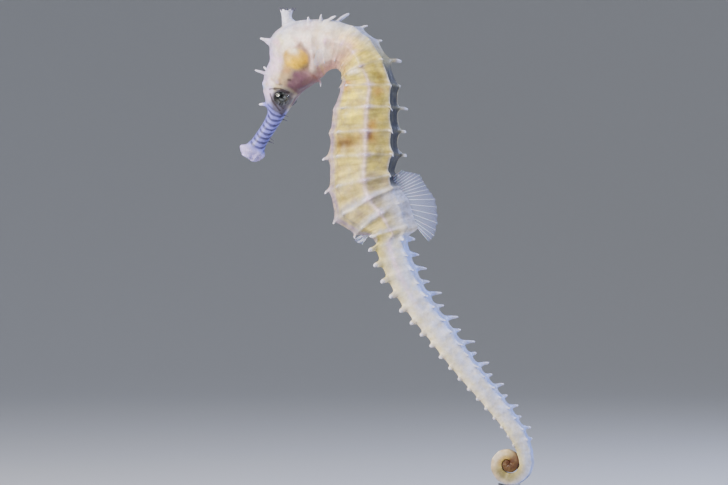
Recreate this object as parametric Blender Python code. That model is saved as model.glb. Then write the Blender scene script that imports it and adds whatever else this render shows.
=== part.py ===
"""Barbour's seahorse, an adult female, as a life-size museum model on a small display stand.

The animal swims upright, facing -X, with its left side towards -Y. Its whole body from mouth to
tail tip is one swept form: cross-sections stand on a body line that runs up the snout, over the
bent neck, down the trunk and along the tail into a forward coil. The place along that line is the
"station" number t: the snout tip is near -14, trunk rings are 1 to 11, and tail ring j is 12 + j.
Sizes are in millimetres, and MM turns them into metres. The origin is the middle of the stand's
underside.
"""

import math
from typing import NamedTuple

import bmesh
import bpy
import numpy as np
from mathutils import Matrix, Vector

MM = 0.001

# Stand: the base, and the rod whose flared cradle the coil rests in
BASE_LENGTH = 84.0
BASE_WIDTH = 52.0
BASE_HEIGHT = 6.0
BASE_CORNER = 6.0
BASE_RIM = 1.0
ROD_RADIUS = 1.1
ROD_SIDES = 20
CRADLE_RADIUS = 2.4
CRADLE_DEPTH = 1.8
CRADLE_FLARE = 1.2
CRADLE_LIP = 0.6
CRADLE_GRIP = 0.9
SADDLE_GAP = 0.35
FOOT_GAP = 0.02

# Body line: the snout's mouth and direction, and the middle of the neck's crook
MOUTH = (-27.2, 90.9)
SNOUT_HEADING = 57.6
CROOK = (-10.2, 106.2)

# Rings
TRUNK_RINGS = 11
TAIL_RINGS = 35
FIRST_TAIL = TRUNK_RINGS + 1
SPINY_TAIL_RINGS = 18
TAIL_PITCH = 3.63
TAIL_TAPER = 39.0
TAIL_ROUTE = ((4.7, 71.2), (6.4, 66.3), (9.7, 59.7), (15.6, 51.9), (21.3, 44.5), (27.1, 37.7),
              (32.1, 31.3), (34.3, 27.2))
TAIL_DEPTH_RINGS = (0.0, 10.0, 21.0, 26.0, 29.0, 32.0, 35.0)
TAIL_DEPTHS = (6.3, 4.5, 2.75, 2.33, 1.97, 1.76, 1.15)
COIL_CENTRE = (31.2, 23.5)
COIL_RADII = (3.9, 3.38, 2.68, 1.92, 1.27, 1.02, 0.71, 0.64)
RING_SWELL = 0.05
RING_SWELL_LENGTH = 0.17
SPINE_SPLAY = 50.0

# Coronet: (height, radius) up its column, then the crown of five points
CORONET_HEADING = 32.0
CORONET_FOOT = 16.25
CORONET_PROFILE = ((0.0, 1.6), (0.7, 1.2), (1.4, 1.1), (2.0, 1.2))
CORONET_TURN = 0.5
CORONET_TOP = 1.7
CORONET_SIDES = 20
CORONET_POINTS = 5
POINT_FOOT = 0.8
POINT_REACH = 1.0
POINT_HEIGHT = 1.3
CROWN_DIP = 0.3

# Fins, eyes and gaps
FIN_THICKNESS = 0.5
DORSAL_RAYS = 19
ANAL_RAYS = 4
PECTORAL_RAYS = 18
PECTORAL_BASE = (-11.2, 4.95, 112.0)
PECTORAL_RISE = (0.25, 0.0, 1.0)
PECTORAL_SWEEP = (0.95, 0.3, -0.1)
PECTORAL_ROOT = 2.6
PECTORAL_FAN = 38.0
PECTORAL_SHORT = 1.4
PECTORAL_LONG = 2.3
EYE_ALONG = 14.3
EYE_RISE = 0.25
EYE_OUT = 2.75
EYE_RADIUS = 1.85
SOCKET_GAP = 0.2
NODE_GAP = 0.3

BODY_COLOUR = (0.72, 0.60, 0.36)
PALE_COLOUR = (0.78, 0.74, 0.70)
SNOUT_COLOUR = (0.55, 0.57, 0.66)
FIN_COLOUR = (0.60, 0.66, 0.85)
EYE_COLOUR = (0.05, 0.035, 0.02)
WOOD_COLOUR = (0.05, 0.03, 0.02)
STEEL_COLOUR = (0.55, 0.55, 0.56)


class Station(NamedTuple):
    """One cross-section: its centre and tilt, how far it reaches and how wide its ridges stand."""

    t: float
    x: float
    z: float
    heading: float
    back: float
    belly: float
    superior: float
    lateral: float
    inferior: float
    lateral_level: float
    inferior_level: float
    keel: float
    pad: float
    roundness: float


def unit(heading):
    """The direction of a heading in degrees in the XZ plane, as (x, z)."""
    angle = math.radians(heading)
    return math.cos(angle), math.sin(angle)


def head_station(t, along, back, belly, lateral, crown, jaw, level=0.0):
    """A station of the snout or head, square to the snout's axis."""
    ux, uz = unit(SNOUT_HEADING)
    rise = (back - belly) / 2
    x = MOUTH[0] + ux * along - uz * rise
    z = MOUTH[1] + uz * along + ux * rise
    half = (back + belly) / 2
    return Station(t, x, z, SNOUT_HEADING, half, half, crown, lateral, jaw,
                   level, 0.8, 1.0, 0.0, 1.0)


def neck_station(t, heading, inner, outer, lateral, superior, inferior, roundness):
    """A station of the bent neck, on a spoke from the crook between throat and chest."""
    nx, nz = unit(heading + 90)
    middle = (inner + outer) / 2
    half = (outer - inner) / 2
    return Station(t, CROOK[0] + nx * middle, CROOK[1] + nz * middle, heading, half, half,
                   superior, lateral, inferior, 0.15, 0.6, 1.0, 0.0, roundness)


def trunk_station(t, keel, back, lateral, superior, inferior, pad=0.0):
    """A trunk ring from its keel point to the middle of its back, in the XZ plane."""
    dx, dz = back[0] - keel[0], back[1] - keel[1]
    depth = math.hypot(dx, dz)
    heading = math.degrees(math.atan2(dz, dx)) - 90
    middle = (depth - pad) / 2
    x = keel[0] + dx / depth * middle
    z = keel[1] + dz / depth * middle
    return Station(t, x, z, heading, middle, middle, superior, lateral, inferior,
                   0.33, 0.55, 1.0, pad, 0.0)


def head_and_trunk_stations():
    """Stations from the mouth to the last trunk ring."""
    return [
        head_station(-14.2, -1.0, 1.6, 1.4, 1.4, 0.8, 0.8),
        head_station(-13.9, -0.6, 2.6, 2.1, 2.1, 1.1, 1.1),
        head_station(-13.4, 0.4, 2.7, 2.2, 2.2, 1.3, 1.3),
        head_station(-12.8, 1.7, 2.1, 1.9, 1.8, 1.1, 1.1),
        head_station(-12.0, 3.4, 1.65, 1.7, 1.5, 1.0, 1.0),
        head_station(-9.1, 9.8, 1.75, 1.85, 1.65, 1.0, 1.0),
        head_station(-8.1, 12.0, 3.7, 1.95, 2.5, 1.6, 1.3),
        head_station(-7.0, 14.4, 5.9, 1.95, 3.5, 2.3, 1.5, -0.2),
        head_station(-5.5, 17.8, 7.1, 2.4, 4.0, 2.3, 2.0, -0.15),
        head_station(-4.5, 20.0, 7.6, 3.5, 4.4, 2.0, 2.4, -0.1),
        head_station(-3.7, 21.8, 8.7, 4.4, 4.6, 2.0, 2.8, -0.05),
        neck_station(-3.0, 47.0, 1.9, 16.3, 4.65, 2.1, 2.9, 1.0),
        neck_station(-2.3, 36.0, 1.9, 15.9, 4.6, 2.2, 3.0, 1.0),
        neck_station(-0.9, 17.0, 1.9, 15.0, 4.4, 2.4, 3.0, 0.8),
        neck_station(0.2, 3.0, 2.2, 14.3, 4.4, 2.6, 2.8, 0.4),
        neck_station(1.0, -7.0, 2.8, 14.1, 4.5, 2.8, 2.8, 0.2),
        neck_station(2.0, -30.0, 4.0, 14.3, 4.7, 3.0, 2.8, 0.0),
        neck_station(3.0, -49.0, 4.4, 14.4, 4.9, 3.2, 2.8, 0.0),
        neck_station(4.0, -69.0, 4.1, 14.5, 5.2, 3.3, 2.9, 0.0),
        trunk_station(5.0, (-6.5, 105.8), (5.1, 105.8), 5.4, 3.3, 3.0),
        trunk_station(6.0, (-8.1, 100.8), (5.2, 101.0), 5.6, 3.4, 3.2),
        trunk_station(7.0, (-9.0, 95.5), (5.35, 95.8), 5.9, 3.4, 3.4),
        trunk_station(8.0, (-9.2, 90.1), (5.35, 90.6), 6.0, 3.4, 3.6),
        trunk_station(9.0, (-8.9, 83.1), (5.1, 86.0), 6.0, 3.3, 3.8, 0.2),
        trunk_station(10.0, (-7.6, 76.3), (6.8, 83.6), 5.7, 3.0, 3.4, 1.3),
        trunk_station(11.0, (-3.0, 73.3), (8.7, 80.8), 4.9, 2.8, 2.8, 2.0),
        trunk_station(12.0, (0.2, 72.6), (10.6, 75.2), 4.0, 2.7, 2.5, 2.2),
        trunk_station(12.42, (1.0, 71.7), (10.9, 74.2), 3.6, 2.7, 2.5, 2.3),
    ]


def tail_pitch(ring):
    """The spacing of tail rings, which shortens towards the tip."""
    return TAIL_PITCH * (1 - ((ring + 1) / TAIL_TAPER) ** 1.5)


def tail_route():
    """The tail's middle line: down in a slow S, then round the coil with a shrinking radius."""
    points = [np.array(point) for point in TAIL_ROUTE]
    per_turn = 24
    turns = (len(COIL_RADII) - 1) / 4
    for i in range(round(turns * per_turn) + 1):
        quarters = 4 * i / per_turn
        radius = float(spline(range(len(COIL_RADII)), COIL_RADII, quarters))
        ux, uz = unit(-90 * quarters)
        points.append(np.array((COIL_CENTRE[0] + ux * radius, COIL_CENTRE[1] + uz * radius)))
    return np.array(points)


def tail_stations():
    """Stations of the tail, four for each ring, read from its route at the rings' spacing."""
    route = tail_route()
    steps = np.hypot(*np.diff(route, axis=0).T)
    lengths = np.concatenate(([0.0], np.cumsum(steps)))
    per_ring, substeps = 4, 8
    place = 0.0
    stations = []
    for index in range((TAIL_RINGS - 1) * per_ring + 1):
        ring = 1.0 + index / per_ring
        x, z = spline(lengths, route, place)
        ahead = spline(lengths, route, place + 0.05) - (x, z)
        heading = math.degrees(math.atan2(ahead[1], ahead[0]))
        if stations:
            heading -= 360 * round((heading - stations[-1].heading) / 360)
        depth = float(spline(TAIL_DEPTH_RINGS, TAIL_DEPTHS, ring))
        curled = float(np.interp(ring, (18.0, 24.0), (0.0, 0.4)))
        stations.append(Station(
            FIRST_TAIL + ring, x, z, heading, depth / 2, depth / 2, depth * 0.41, depth * 0.39,
            depth * 0.36, 0.0, 1.0, 0.94, 0.0, curled))
        for step in range(substeps):
            place += tail_pitch(ring + step / (per_ring * substeps)) / (per_ring * substeps)
    return stations


def spline(knots, values, place):
    """A smooth curve through values at rising knots, read at one place."""
    knots = np.asarray(knots, float)
    values = np.asarray(values, float)
    slopes = np.empty_like(values)
    slopes[1:-1] = ((values[2:] - values[:-2]).T / (knots[2:] - knots[:-2])).T
    slopes[0] = (values[1] - values[0]) / (knots[1] - knots[0])
    slopes[-1] = (values[-1] - values[-2]) / (knots[-1] - knots[-2])
    i = int(np.clip(np.searchsorted(knots, place) - 1, 0, len(knots) - 2))
    h = knots[i + 1] - knots[i]
    u = (place - knots[i]) / h
    return ((2 * u**3 - 3 * u**2 + 1) * values[i] + (u**3 - 2 * u**2 + u) * h * slopes[i]
            + (3 * u**2 - 2 * u**3) * values[i + 1] + (u**3 - u**2) * h * slopes[i + 1])


STATIONS = np.array(head_and_trunk_stations() + tail_stations())
LAST_STATION = float(STATIONS[-1, 0])

# Flesh nodes, each from the end of the one before it
NODE_ENDS = (
    ("snout", -8.6), ("head", -0.55), ("neck", 2.5), ("trunk_upper", 5.5),
    ("trunk_middle", 8.5), ("trunk_lower", 12.42), ("tail_upper", 18.5), ("tail_middle", 24.5),
    ("tail_lower", 30.5), ("tail_coil_outer", 38.5), ("tail_coil_inner", LAST_STATION),
)


def station_at(t):
    """The cross-section at any place along the body."""
    return Station(t, *spline(STATIONS[:, 0], STATIONS[:, 1:], t))


def ring_swell(t):
    """How much wider the body is near a ring than between rings."""
    if t < 0.7:
        return 1.0
    return 1 + RING_SWELL * math.exp(-(((t - round(t)) / RING_SWELL_LENGTH) ** 2))


def section_point(station, u, side):
    """A point of a cross-section in model space, in millimetres.

    u runs from 0 at the middle of the back over the superior ridge (1), the lateral ridge (2)
    and the inferior ridge (3) to the middle of the belly (4); side is -1 on the left.
    """
    s = station
    corners = ((s.back * 0.97 + s.pad, 0.0), (s.back, s.superior),
               (s.back * s.lateral_level, s.lateral), (-s.belly * s.inferior_level, s.inferior),
               (-s.belly * s.keel, 0.0))
    i = min(int(u), 3)
    f = u - i
    level = corners[i][0] * (1 - f) + corners[i + 1][0] * f
    width = corners[i][1] * (1 - f) + corners[i + 1][1] * f
    angle = math.radians(float(np.interp(u, (0, 1, 2, 3, 4), (0, 36, 90, 142, 180))))
    waist = s.back * s.lateral_level
    reach = s.back - waist if angle < math.pi / 2 else s.belly + waist
    level += s.roundness * (waist + reach * math.cos(angle) - level)
    width += s.roundness * (s.lateral * math.sin(angle) - width)
    swell = ring_swell(s.t)
    nx, nz = unit(s.heading + 90)
    return Vector((s.x + nx * level * swell, side * width * swell, s.z + nz * level * swell))


def outward(station, u, side):
    """The direction of a spine at a ridge of a cross-section, in the section's plane."""
    nx, nz = unit(station.heading + 90)
    up = Vector((nx, 0, nz))
    if station.t < -1.5:
        away = section_point(station, u, side) - Vector((station.x, 0, station.z))
        return (away + 0.6 * away.dot(up) * up).normalized()
    splay = {0: 0.0, 1: SPINE_SPLAY, 2: 90.0, 3: 180.0 - SPINE_SPLAY, 4: 180.0}[int(u)]
    level, width = unit(splay)
    return up * level + Vector((0, side * width, 0))


# Columns round a section: a close pair beside each ridge gives its spines a small foot
RIDGE_FOOT = 0.15
HALF_COLUMNS = (0.0, 1 - RIDGE_FOOT, 1.0, 1 + RIDGE_FOOT, 2 - RIDGE_FOOT, 2.0, 2 + RIDGE_FOOT,
                3 - RIDGE_FOOT, 3.0, 3 + RIDGE_FOOT, 4.0)
COLUMNS = ([(u, 1) for u in HALF_COLUMNS] + [(u, -1) for u in HALF_COLUMNS[-2:0:-1]])
RING_FOOT = 0.13

# Spines of the head, by station: (t, ridge, length, lean towards the tail)
HEAD_SPINES = (
    (-8.5, 0.0, 2.0, -0.5),
    (-5.8, 1.0, 3.0, -0.1),
    (-3.35, 0.0, 2.9, -0.25),
    (-3.8, 4.0, 1.3, 0.0),
    (-2.6, 3.0, 0.7, 0.0),
    (-1.9, 3.0, 0.7, 0.0),
    (-1.0, 1.0, 1.0, 0.1),
    (0.0, 1.0, 1.5, 0.2),
)


# (length, lean) of the hooked pair under the start of the tail
TAIL_START_SPINE = (1.8, -0.1)


def trunk_spines(ring):
    """(ridge, length, lean) of the spines of one trunk ring."""
    superior = {1: 4.2, 2: 2.2, 3: 1.4, 4: 3.3, 5: 0.9, 6: 2.7, 7: 2.0, 8: 2.1, 9: 0.8,
                10: 0.7, 11: 0.7}[ring]
    lean = {1: 0.6, 2: 0.36, 3: 0.31, 4: 0.33}.get(ring, 0.1)
    keel = {4: 0.5, 5: 0.8, 6: 0.5, 7: 0.4, 8: 1.5, 9: 1.5, 10: 0.9, 11: 1.0}.get(ring, 0)
    lateral = 1.1 if 3 <= ring <= 10 else 0.7
    inferior = 0.8 if ring >= 4 else 0.4
    return ((1.0, superior, lean), (2.0, lateral, 0.1), (3.0, inferior, 0.1), (4.0, keel, 0.5))


def tail_spines(ring):
    """(ridge, length, lean) of the spines of one tail ring: long and short ones by turns."""
    if ring % 2 and ring > 1:
        dorsal = float(np.interp(ring, (3, 5, 9, 13, 17, 19), (2.7, 3.3, 3.2, 2.3, 1.8, 0.7)))
    else:
        dorsal = float(np.interp(ring, (1, 6, 12, 18, 20), (2.1, 1.7, 1.3, 0.7, 0.7)))
    ventral = float(np.interp(ring, (1, 3, 6, 10, 18), (1.95, 1.95, 1.2, 0.6, 0.2)))
    return ((1.0, dorsal, 0.35), (3.0, ventral, 0.3))


def ring_rows(start, end):
    """Stations between two places: three beside each ring and one halfway between rings."""
    rows = []
    for ring in range(math.floor(start), math.ceil(end) + 1):
        near = (ring - RING_FOOT, ring, ring + RING_FOOT, ring + 0.5)
        if ring > FIRST_TAIL:
            near = near[:3] if ring <= FIRST_TAIL + SPINY_TAIL_RINGS else (ring, ring + 0.5)
        rows += [t for t in near if start + 0.1 < t < end - 0.1]
    return rows


def head_rows(start, end):
    """Stations of the snout and head, closer beside each spine."""
    rows = {t for t in np.arange(-14.2, 0.7, 0.8) if start + 0.15 < t < end - 0.15}
    for t, _, _, _ in HEAD_SPINES:
        rows = {row for row in rows if abs(row - t) > 0.3}
        rows |= {t - 0.16, t, t + 0.16}
    rows |= {-13.9, -13.4, -12.8}
    return sorted(t for t in rows if start + 0.08 < t < end - 0.08)


def spine_table():
    """Every spine of the body as {(station, ridge): (length, lean)}."""
    table = {(t, ridge): (length, lean) for t, ridge, length, lean in HEAD_SPINES}
    table[(float(FIRST_TAIL), 3.0)] = TAIL_START_SPINE
    for ring in range(1, TRUNK_RINGS + 1):
        for ridge, length, lean in trunk_spines(ring):
            table[(float(ring), ridge)] = (length, lean)
    for ring in range(1, SPINY_TAIL_RINGS + 1):
        for ridge, length, lean in tail_spines(ring):
            table[(float(FIRST_TAIL + ring), ridge)] = (length, lean)
    return table


def raise_spine(bm, vert, direction, length):
    """Draws a grid vertex out into a pyramid, on a fan of triangles that share its foot."""
    for face in list(vert.link_faces):
        opposite = [v for v in face.verts if v is not vert
                    and not any(v in edge.verts for edge in vert.link_edges)]
        if len(face.verts) == 4 and opposite:
            bmesh.utils.face_split(face, vert, opposite[0])
    vert.co += direction * length


def flesh_mesh(start, end):
    """A closed length of the swept body between two stations, with its spines."""
    rows = [start] + (head_rows(start, end) if start < -0.6 else ring_rows(start, end)) + [end]
    spines = spine_table()
    bm = bmesh.new()
    grid = []
    for t in rows:
        station = station_at(t)
        grid.append([bm.verts.new(section_point(station, u, side)) for u, side in COLUMNS])
    count = len(COLUMNS)
    for lower, upper in zip(grid, grid[1:]):
        for i in range(count):
            j = (i + 1) % count
            bm.faces.new((lower[i], lower[j], upper[j], upper[i]))
    bm.faces.new(grid[0][::-1])
    bm.faces.new(grid[-1])
    for t, row in zip(rows[1:-1], grid[1:-1]):
        station = station_at(t)
        along = Vector((unit(station.heading)[0], 0, unit(station.heading)[1]))
        for (u, side), vert in zip(COLUMNS, row):
            length, lean = spines.get((round(float(t), 3), u), (0.0, 0.0))
            if length:
                direction = (outward(station, u, side) + lean * along).normalized()
                raise_spine(bm, vert, direction, length)
    bmesh.ops.recalc_face_normals(bm, faces=bm.faces)
    bmesh.ops.scale(bm, vec=(MM, MM, MM), verts=bm.verts)
    return bm


def material(name, colour, roughness, metallic=0.0):
    """A Principled material of one colour."""
    made = bpy.data.materials.new(name)
    made.use_nodes = True
    shader = made.node_tree.nodes["Principled BSDF"]
    shader.inputs["Base Color"].default_value = (*colour, 1.0)
    shader.inputs["Roughness"].default_value = roughness
    shader.inputs["Metallic"].default_value = metallic
    return made


def add_object(name, bm, colour, roughness=0.6, metallic=0.0, smooth=True):
    """Makes a named object of a mesh and gives it its own material."""
    mesh = bpy.data.meshes.new(name)
    bm.to_mesh(mesh)
    bm.free()
    if smooth:
        mesh.shade_smooth()
        mesh.set_sharp_from_angle(angle=math.radians(50))
    made = bpy.data.objects.new(name, mesh)
    bpy.context.collection.objects.link(made)
    mesh.materials.append(material(f"{name}_finish", colour, roughness, metallic))
    return made


def line_speed(t):
    """Millimetres of body line for each unit of station number."""
    before, after = station_at(t - 0.05), station_at(t + 0.05)
    return math.hypot(after.x - before.x, after.z - before.z) / 0.1


def build_flesh():
    """The body's lengths from snout to tail tip, with thin gaps between them."""
    start = float(STATIONS[0, 0])
    made = {}
    for name, end in NODE_ENDS:
        half_gap = NODE_GAP / 2
        low = start if start == STATIONS[0, 0] else start + half_gap / line_speed(start)
        high = end if end == LAST_STATION else end - half_gap / line_speed(end)
        colour = SNOUT_COLOUR if name == "snout" else BODY_COLOUR
        made[name] = add_object(name, flesh_mesh(low, high), colour)
        start = end
    return made


def head_point(along, rise, out=0.0):
    """A point of the head, from its place along and above the snout's axis."""
    ux, uz = unit(SNOUT_HEADING)
    return Vector((MOUTH[0] + ux * along - uz * rise, out, MOUTH[1] + uz * along + ux * rise))


def sphere_mesh(centre, radius, segments=16, rings=10):
    """A sphere with its poles along Y, in metres."""
    bm = bmesh.new()
    bmesh.ops.create_uvsphere(bm, u_segments=segments, v_segments=rings, radius=radius * MM)
    bmesh.ops.rotate(bm, matrix=Matrix.Rotation(math.pi / 2, 3, "X"), verts=bm.verts)
    bmesh.ops.translate(bm, vec=centre * MM, verts=bm.verts)
    return bm


def build_eyes(head, snout):
    """Two eyeballs, each in a socket cut into the head."""
    for name, side in (("eye_left", -1), ("eye_right", 1)):
        centre = head_point(EYE_ALONG, EYE_RISE, side * EYE_OUT)
        add_object(name, sphere_mesh(centre, EYE_RADIUS), EYE_COLOUR, 0.1)
        cutter = add_object(f"{name}_socket", sphere_mesh(centre, EYE_RADIUS + SOCKET_GAP),
                            EYE_COLOUR)
        cutter.hide_render = True
        cutter.display_type = "WIRE"
        for flesh in (head, snout):
            cut = flesh.modifiers.new(cutter.name, "BOOLEAN")
            cut.operation = "DIFFERENCE"
            cut.solver = "EXACT"
            cut.object = cutter


def build_coronet():
    """The crown on the nape: a short column that flares into five blunt points."""
    nx, nz = unit(CORONET_HEADING + 90)
    up = Vector((nx, 0, nz))
    fore = Vector((-nz, 0, nx))
    across = Vector((0, 1, 0))
    lift = Vector((0, 0, 1))
    foot = Vector((CROOK[0], 0, CROOK[1])) + up * CORONET_FOOT
    angles = [2 * math.pi * i / CORONET_SIDES for i in range(CORONET_SIDES)]
    column_height = CORONET_PROFILE[-1][0]
    bm = bmesh.new()
    grid = []
    for height, radius in CORONET_PROFILE:
        # The column leaves the head square to the skin and turns upright on its way
        share = height / column_height
        centre = (foot + up * CORONET_TURN * min(height, 1.0)
                  + lift * max(height - CORONET_TURN, 0.0))
        axis = (up * (1 - share) + lift * share).normalized()
        front = (fore - axis * fore.dot(axis)).normalized()
        grid.append([bm.verts.new(centre + (front * math.cos(a) + across * math.sin(a)) * radius)
                     for a in angles])
    points = []
    top = foot + up * CORONET_TURN + lift * CORONET_TOP
    for angle in angles:
        peak = math.cos(CORONET_POINTS * angle / 2) ** 2
        offset = fore * math.cos(angle) + across * math.sin(angle)
        points.append(bm.verts.new(top + offset * (POINT_FOOT + POINT_REACH * peak)
                                   + lift * (POINT_HEIGHT * peak - 0.1)))
    grid.append(points)
    for lower, upper in zip(grid, grid[1:]):
        for i in range(CORONET_SIDES):
            j = (i + 1) % CORONET_SIDES
            bm.faces.new((lower[i], lower[j], upper[j], upper[i]))
    centre = bm.verts.new(top - lift * CROWN_DIP)
    for i in range(CORONET_SIDES):
        bm.faces.new((points[i], points[(i + 1) % CORONET_SIDES], centre))
    bm.faces.new(grid[0][::-1])
    bmesh.ops.recalc_face_normals(bm, faces=bm.faces)
    bmesh.ops.scale(bm, vec=(MM, MM, MM), verts=bm.verts)
    return add_object("coronet", bm, PALE_COLOUR)


def fin_mesh(roots, tips, normal):
    """A fin of one thickness whose rays run from roots to tips; each ray's tip juts a little."""
    bm = bmesh.new()
    outline = list(roots)
    for index in range(len(tips) - 1, -1, -1):
        outline.append(tips[index])
        if index:
            between = (tips[index] + tips[index - 1]) / 2
            inward = (roots[index] + roots[index - 1]) / 2 - between
            outline.append(between + inward * 0.05)
    half = normal.normalized() * (FIN_THICKNESS / 2)
    lower = [bm.verts.new(p - half) for p in outline]
    upper = [bm.verts.new(p + half) for p in outline]
    count = len(outline)
    bm.faces.new(lower[::-1])
    bm.faces.new(upper)
    for i in range(count):
        j = (i + 1) % count
        bm.faces.new((lower[i], lower[j], upper[j], upper[i]))
    bmesh.ops.recalc_face_normals(bm, faces=bm.faces)
    bmesh.ops.scale(bm, vec=(MM, MM, MM), verts=bm.verts)
    return bm


def midline_fin(name, ridge, start, end, rays, first, last, lengths, crowding):
    """A fin on the middle of the back or belly, its rays fanning between two headings."""
    roots, tips = [], []
    for i in range(rays):
        f = i / (rays - 1)
        station = station_at(start + (end - start) * f)
        away = unit(station.heading + (90 if ridge == 0 else -90))
        root = section_point(station, ridge, 1) + Vector((away[0], 0, away[1])) * NODE_GAP
        ux, uz = unit(first + (last - first) * f**crowding)
        length = float(spline(np.linspace(0, 1, len(lengths)), lengths, f))
        roots.append(root)
        tips.append(root + Vector((ux, 0, uz)) * length)
    add_object(name, fin_mesh(roots, tips, Vector((0, 1, 0))), FIN_COLOUR, 0.3)


def build_midline_fins():
    """The fan on the low back that drives the animal, and the tiny fin under the trunk's end."""
    midline_fin("dorsal_fin", 0.0, 9.1, 12.25, DORSAL_RAYS, 40, -56,
                (2.4, 4.6, 5.2, 5.8, 3.6), 1.7)
    midline_fin("anal_fin", 4.0, 11.35, 11.8, ANAL_RAYS, -150, -120, (1.6, 2.3, 2.0), 2.0)


def build_pectoral_fins():
    """A small fan on each side of the neck, laid back behind the gill cover."""
    for name, side in (("pectoral_fin_left", -1), ("pectoral_fin_right", 1)):
        mirror = Vector((1, side, 1))
        base = Vector(PECTORAL_BASE) * mirror
        rise = Vector(PECTORAL_RISE).normalized()
        swept = (Vector(PECTORAL_SWEEP) * mirror).normalized()
        roots, tips = [], []
        for i in range(PECTORAL_RAYS):
            f = i / (PECTORAL_RAYS - 1)
            angle = math.radians(PECTORAL_FAN * (1 - 2 * f))
            root = base + rise * PECTORAL_ROOT * (0.5 - f)
            ray = swept * math.cos(angle) + rise * math.sin(angle)
            length = PECTORAL_SHORT + (PECTORAL_LONG - PECTORAL_SHORT) * math.sin(math.pi * f)
            roots.append(root)
            tips.append(root + ray * length)
        normal = swept.cross(rise)
        add_object(name, fin_mesh(roots, tips, normal), FIN_COLOUR, 0.3)


def coil_bottom():
    """The lowest point of the coil's underside."""
    places = np.arange(FIRST_TAIL + 20, FIRST_TAIL + 30, 0.05)
    return min((section_point(station_at(float(t)), 1.0, 1) for t in places), key=lambda p: p.z)


def build_stand():
    """A flat base and one short rod whose cradle holds the lowest bend of the tail's coil."""
    bm = bmesh.new()
    bmesh.ops.create_cube(bm, size=1.0)
    bmesh.ops.scale(bm, vec=(BASE_LENGTH * MM, BASE_WIDTH * MM, BASE_HEIGHT * MM), verts=bm.verts)
    bmesh.ops.translate(bm, vec=(0, 0, BASE_HEIGHT / 2 * MM), verts=bm.verts)
    uprights = [e for e in bm.edges if abs(e.verts[0].co.z - e.verts[1].co.z) > BASE_HEIGHT / 2 * MM]
    bmesh.ops.bevel(bm, geom=uprights, offset=BASE_CORNER * MM, segments=6, profile=0.5,
                    affect="EDGES")
    rim = [e for e in bm.edges if min(v.co.z for v in e.verts) > (BASE_HEIGHT - 0.01) * MM]
    bmesh.ops.bevel(bm, geom=rim, offset=BASE_RIM * MM, segments=2, profile=0.5,
                    affect="EDGES")
    add_object("stand_base", bm, WOOD_COLOUR, 0.35)

    bottom = coil_bottom()
    neck = bottom.z - CRADLE_DEPTH
    profile = ((BASE_HEIGHT + FOOT_GAP, ROD_RADIUS), (neck - CRADLE_FLARE, ROD_RADIUS),
               (neck, CRADLE_RADIUS * 0.8), (neck + CRADLE_LIP, CRADLE_RADIUS),
               (bottom.z + CRADLE_GRIP, CRADLE_RADIUS))
    angles = [2 * math.pi * i / ROD_SIDES for i in range(ROD_SIDES)]
    bm = bmesh.new()
    grid = []
    for height, radius in profile:
        grid.append([bm.verts.new((bottom.x + radius * math.cos(a), radius * math.sin(a), height))
                     for a in angles])
    for lower, upper in zip(grid, grid[1:]):
        for i in range(ROD_SIDES):
            j = (i + 1) % ROD_SIDES
            bm.faces.new((lower[i], lower[j], upper[j], upper[i]))
    bm.faces.new(grid[0][::-1])
    bm.faces.new(grid[-1])
    bmesh.ops.scale(bm, vec=(MM, MM, MM), verts=bm.verts)
    rod = add_object("stand_rod", bm, STEEL_COLOUR, 0.3, 1.0)

    bm = bmesh.new()
    reach = COIL_CENTRE[1] - bottom.z + SADDLE_GAP
    bmesh.ops.create_cone(bm, cap_ends=True, segments=48, radius1=reach * MM, radius2=reach * MM,
                          depth=0.02)
    bmesh.ops.rotate(bm, matrix=Matrix.Rotation(math.pi / 2, 3, "X"), verts=bm.verts)
    bmesh.ops.translate(bm, vec=(COIL_CENTRE[0] * MM, 0, COIL_CENTRE[1] * MM), verts=bm.verts)
    cutter = add_object("stand_rod_saddle", bm, STEEL_COLOUR)
    cutter.hide_render = True
    cutter.display_type = "WIRE"
    cut = rod.modifiers.new("saddle", "BOOLEAN")
    cut.operation = "DIFFERENCE"
    cut.solver = "EXACT"
    cut.object = cutter


def main():
    """Clears the scene and builds the animal and its stand."""
    for old in list(bpy.data.objects):
        bpy.data.objects.remove(old, do_unlink=True)
    flesh = build_flesh()
    build_eyes(flesh["head"], flesh["snout"])
    build_coronet()
    build_midline_fins()
    build_pectoral_fins()
    build_stand()


main()
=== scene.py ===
"""Dresses the life-size museum model of an adult female Barbour's seahorse.

The animal is one seamless skin, swept along the same body line as the solids and raised into
plates, ridges, spines and a coronet. Eyes, fins and skin filaments are pieces of their own.
Lengths are in millimetres until a mesh is made, when MM turns them into metres.
"""

import logging
import math
from dataclasses import dataclass, field
from enum import Enum

import bmesh
import bpy
import numpy as np
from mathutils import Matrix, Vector, noise


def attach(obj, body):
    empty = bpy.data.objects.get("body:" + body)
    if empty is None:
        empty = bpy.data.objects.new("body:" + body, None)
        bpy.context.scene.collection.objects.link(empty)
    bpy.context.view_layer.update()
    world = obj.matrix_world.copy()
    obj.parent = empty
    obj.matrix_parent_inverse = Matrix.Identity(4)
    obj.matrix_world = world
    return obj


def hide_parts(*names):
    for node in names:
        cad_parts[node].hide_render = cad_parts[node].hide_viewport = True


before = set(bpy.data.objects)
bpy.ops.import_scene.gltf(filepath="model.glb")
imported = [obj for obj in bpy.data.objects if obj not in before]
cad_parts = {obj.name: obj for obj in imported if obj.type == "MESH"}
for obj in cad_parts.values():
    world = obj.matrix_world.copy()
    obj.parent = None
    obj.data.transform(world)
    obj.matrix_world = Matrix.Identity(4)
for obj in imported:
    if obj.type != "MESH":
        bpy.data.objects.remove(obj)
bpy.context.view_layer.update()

MM = 0.001
BODY = "root"
log = logging.getLogger("seahorse")


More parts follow.
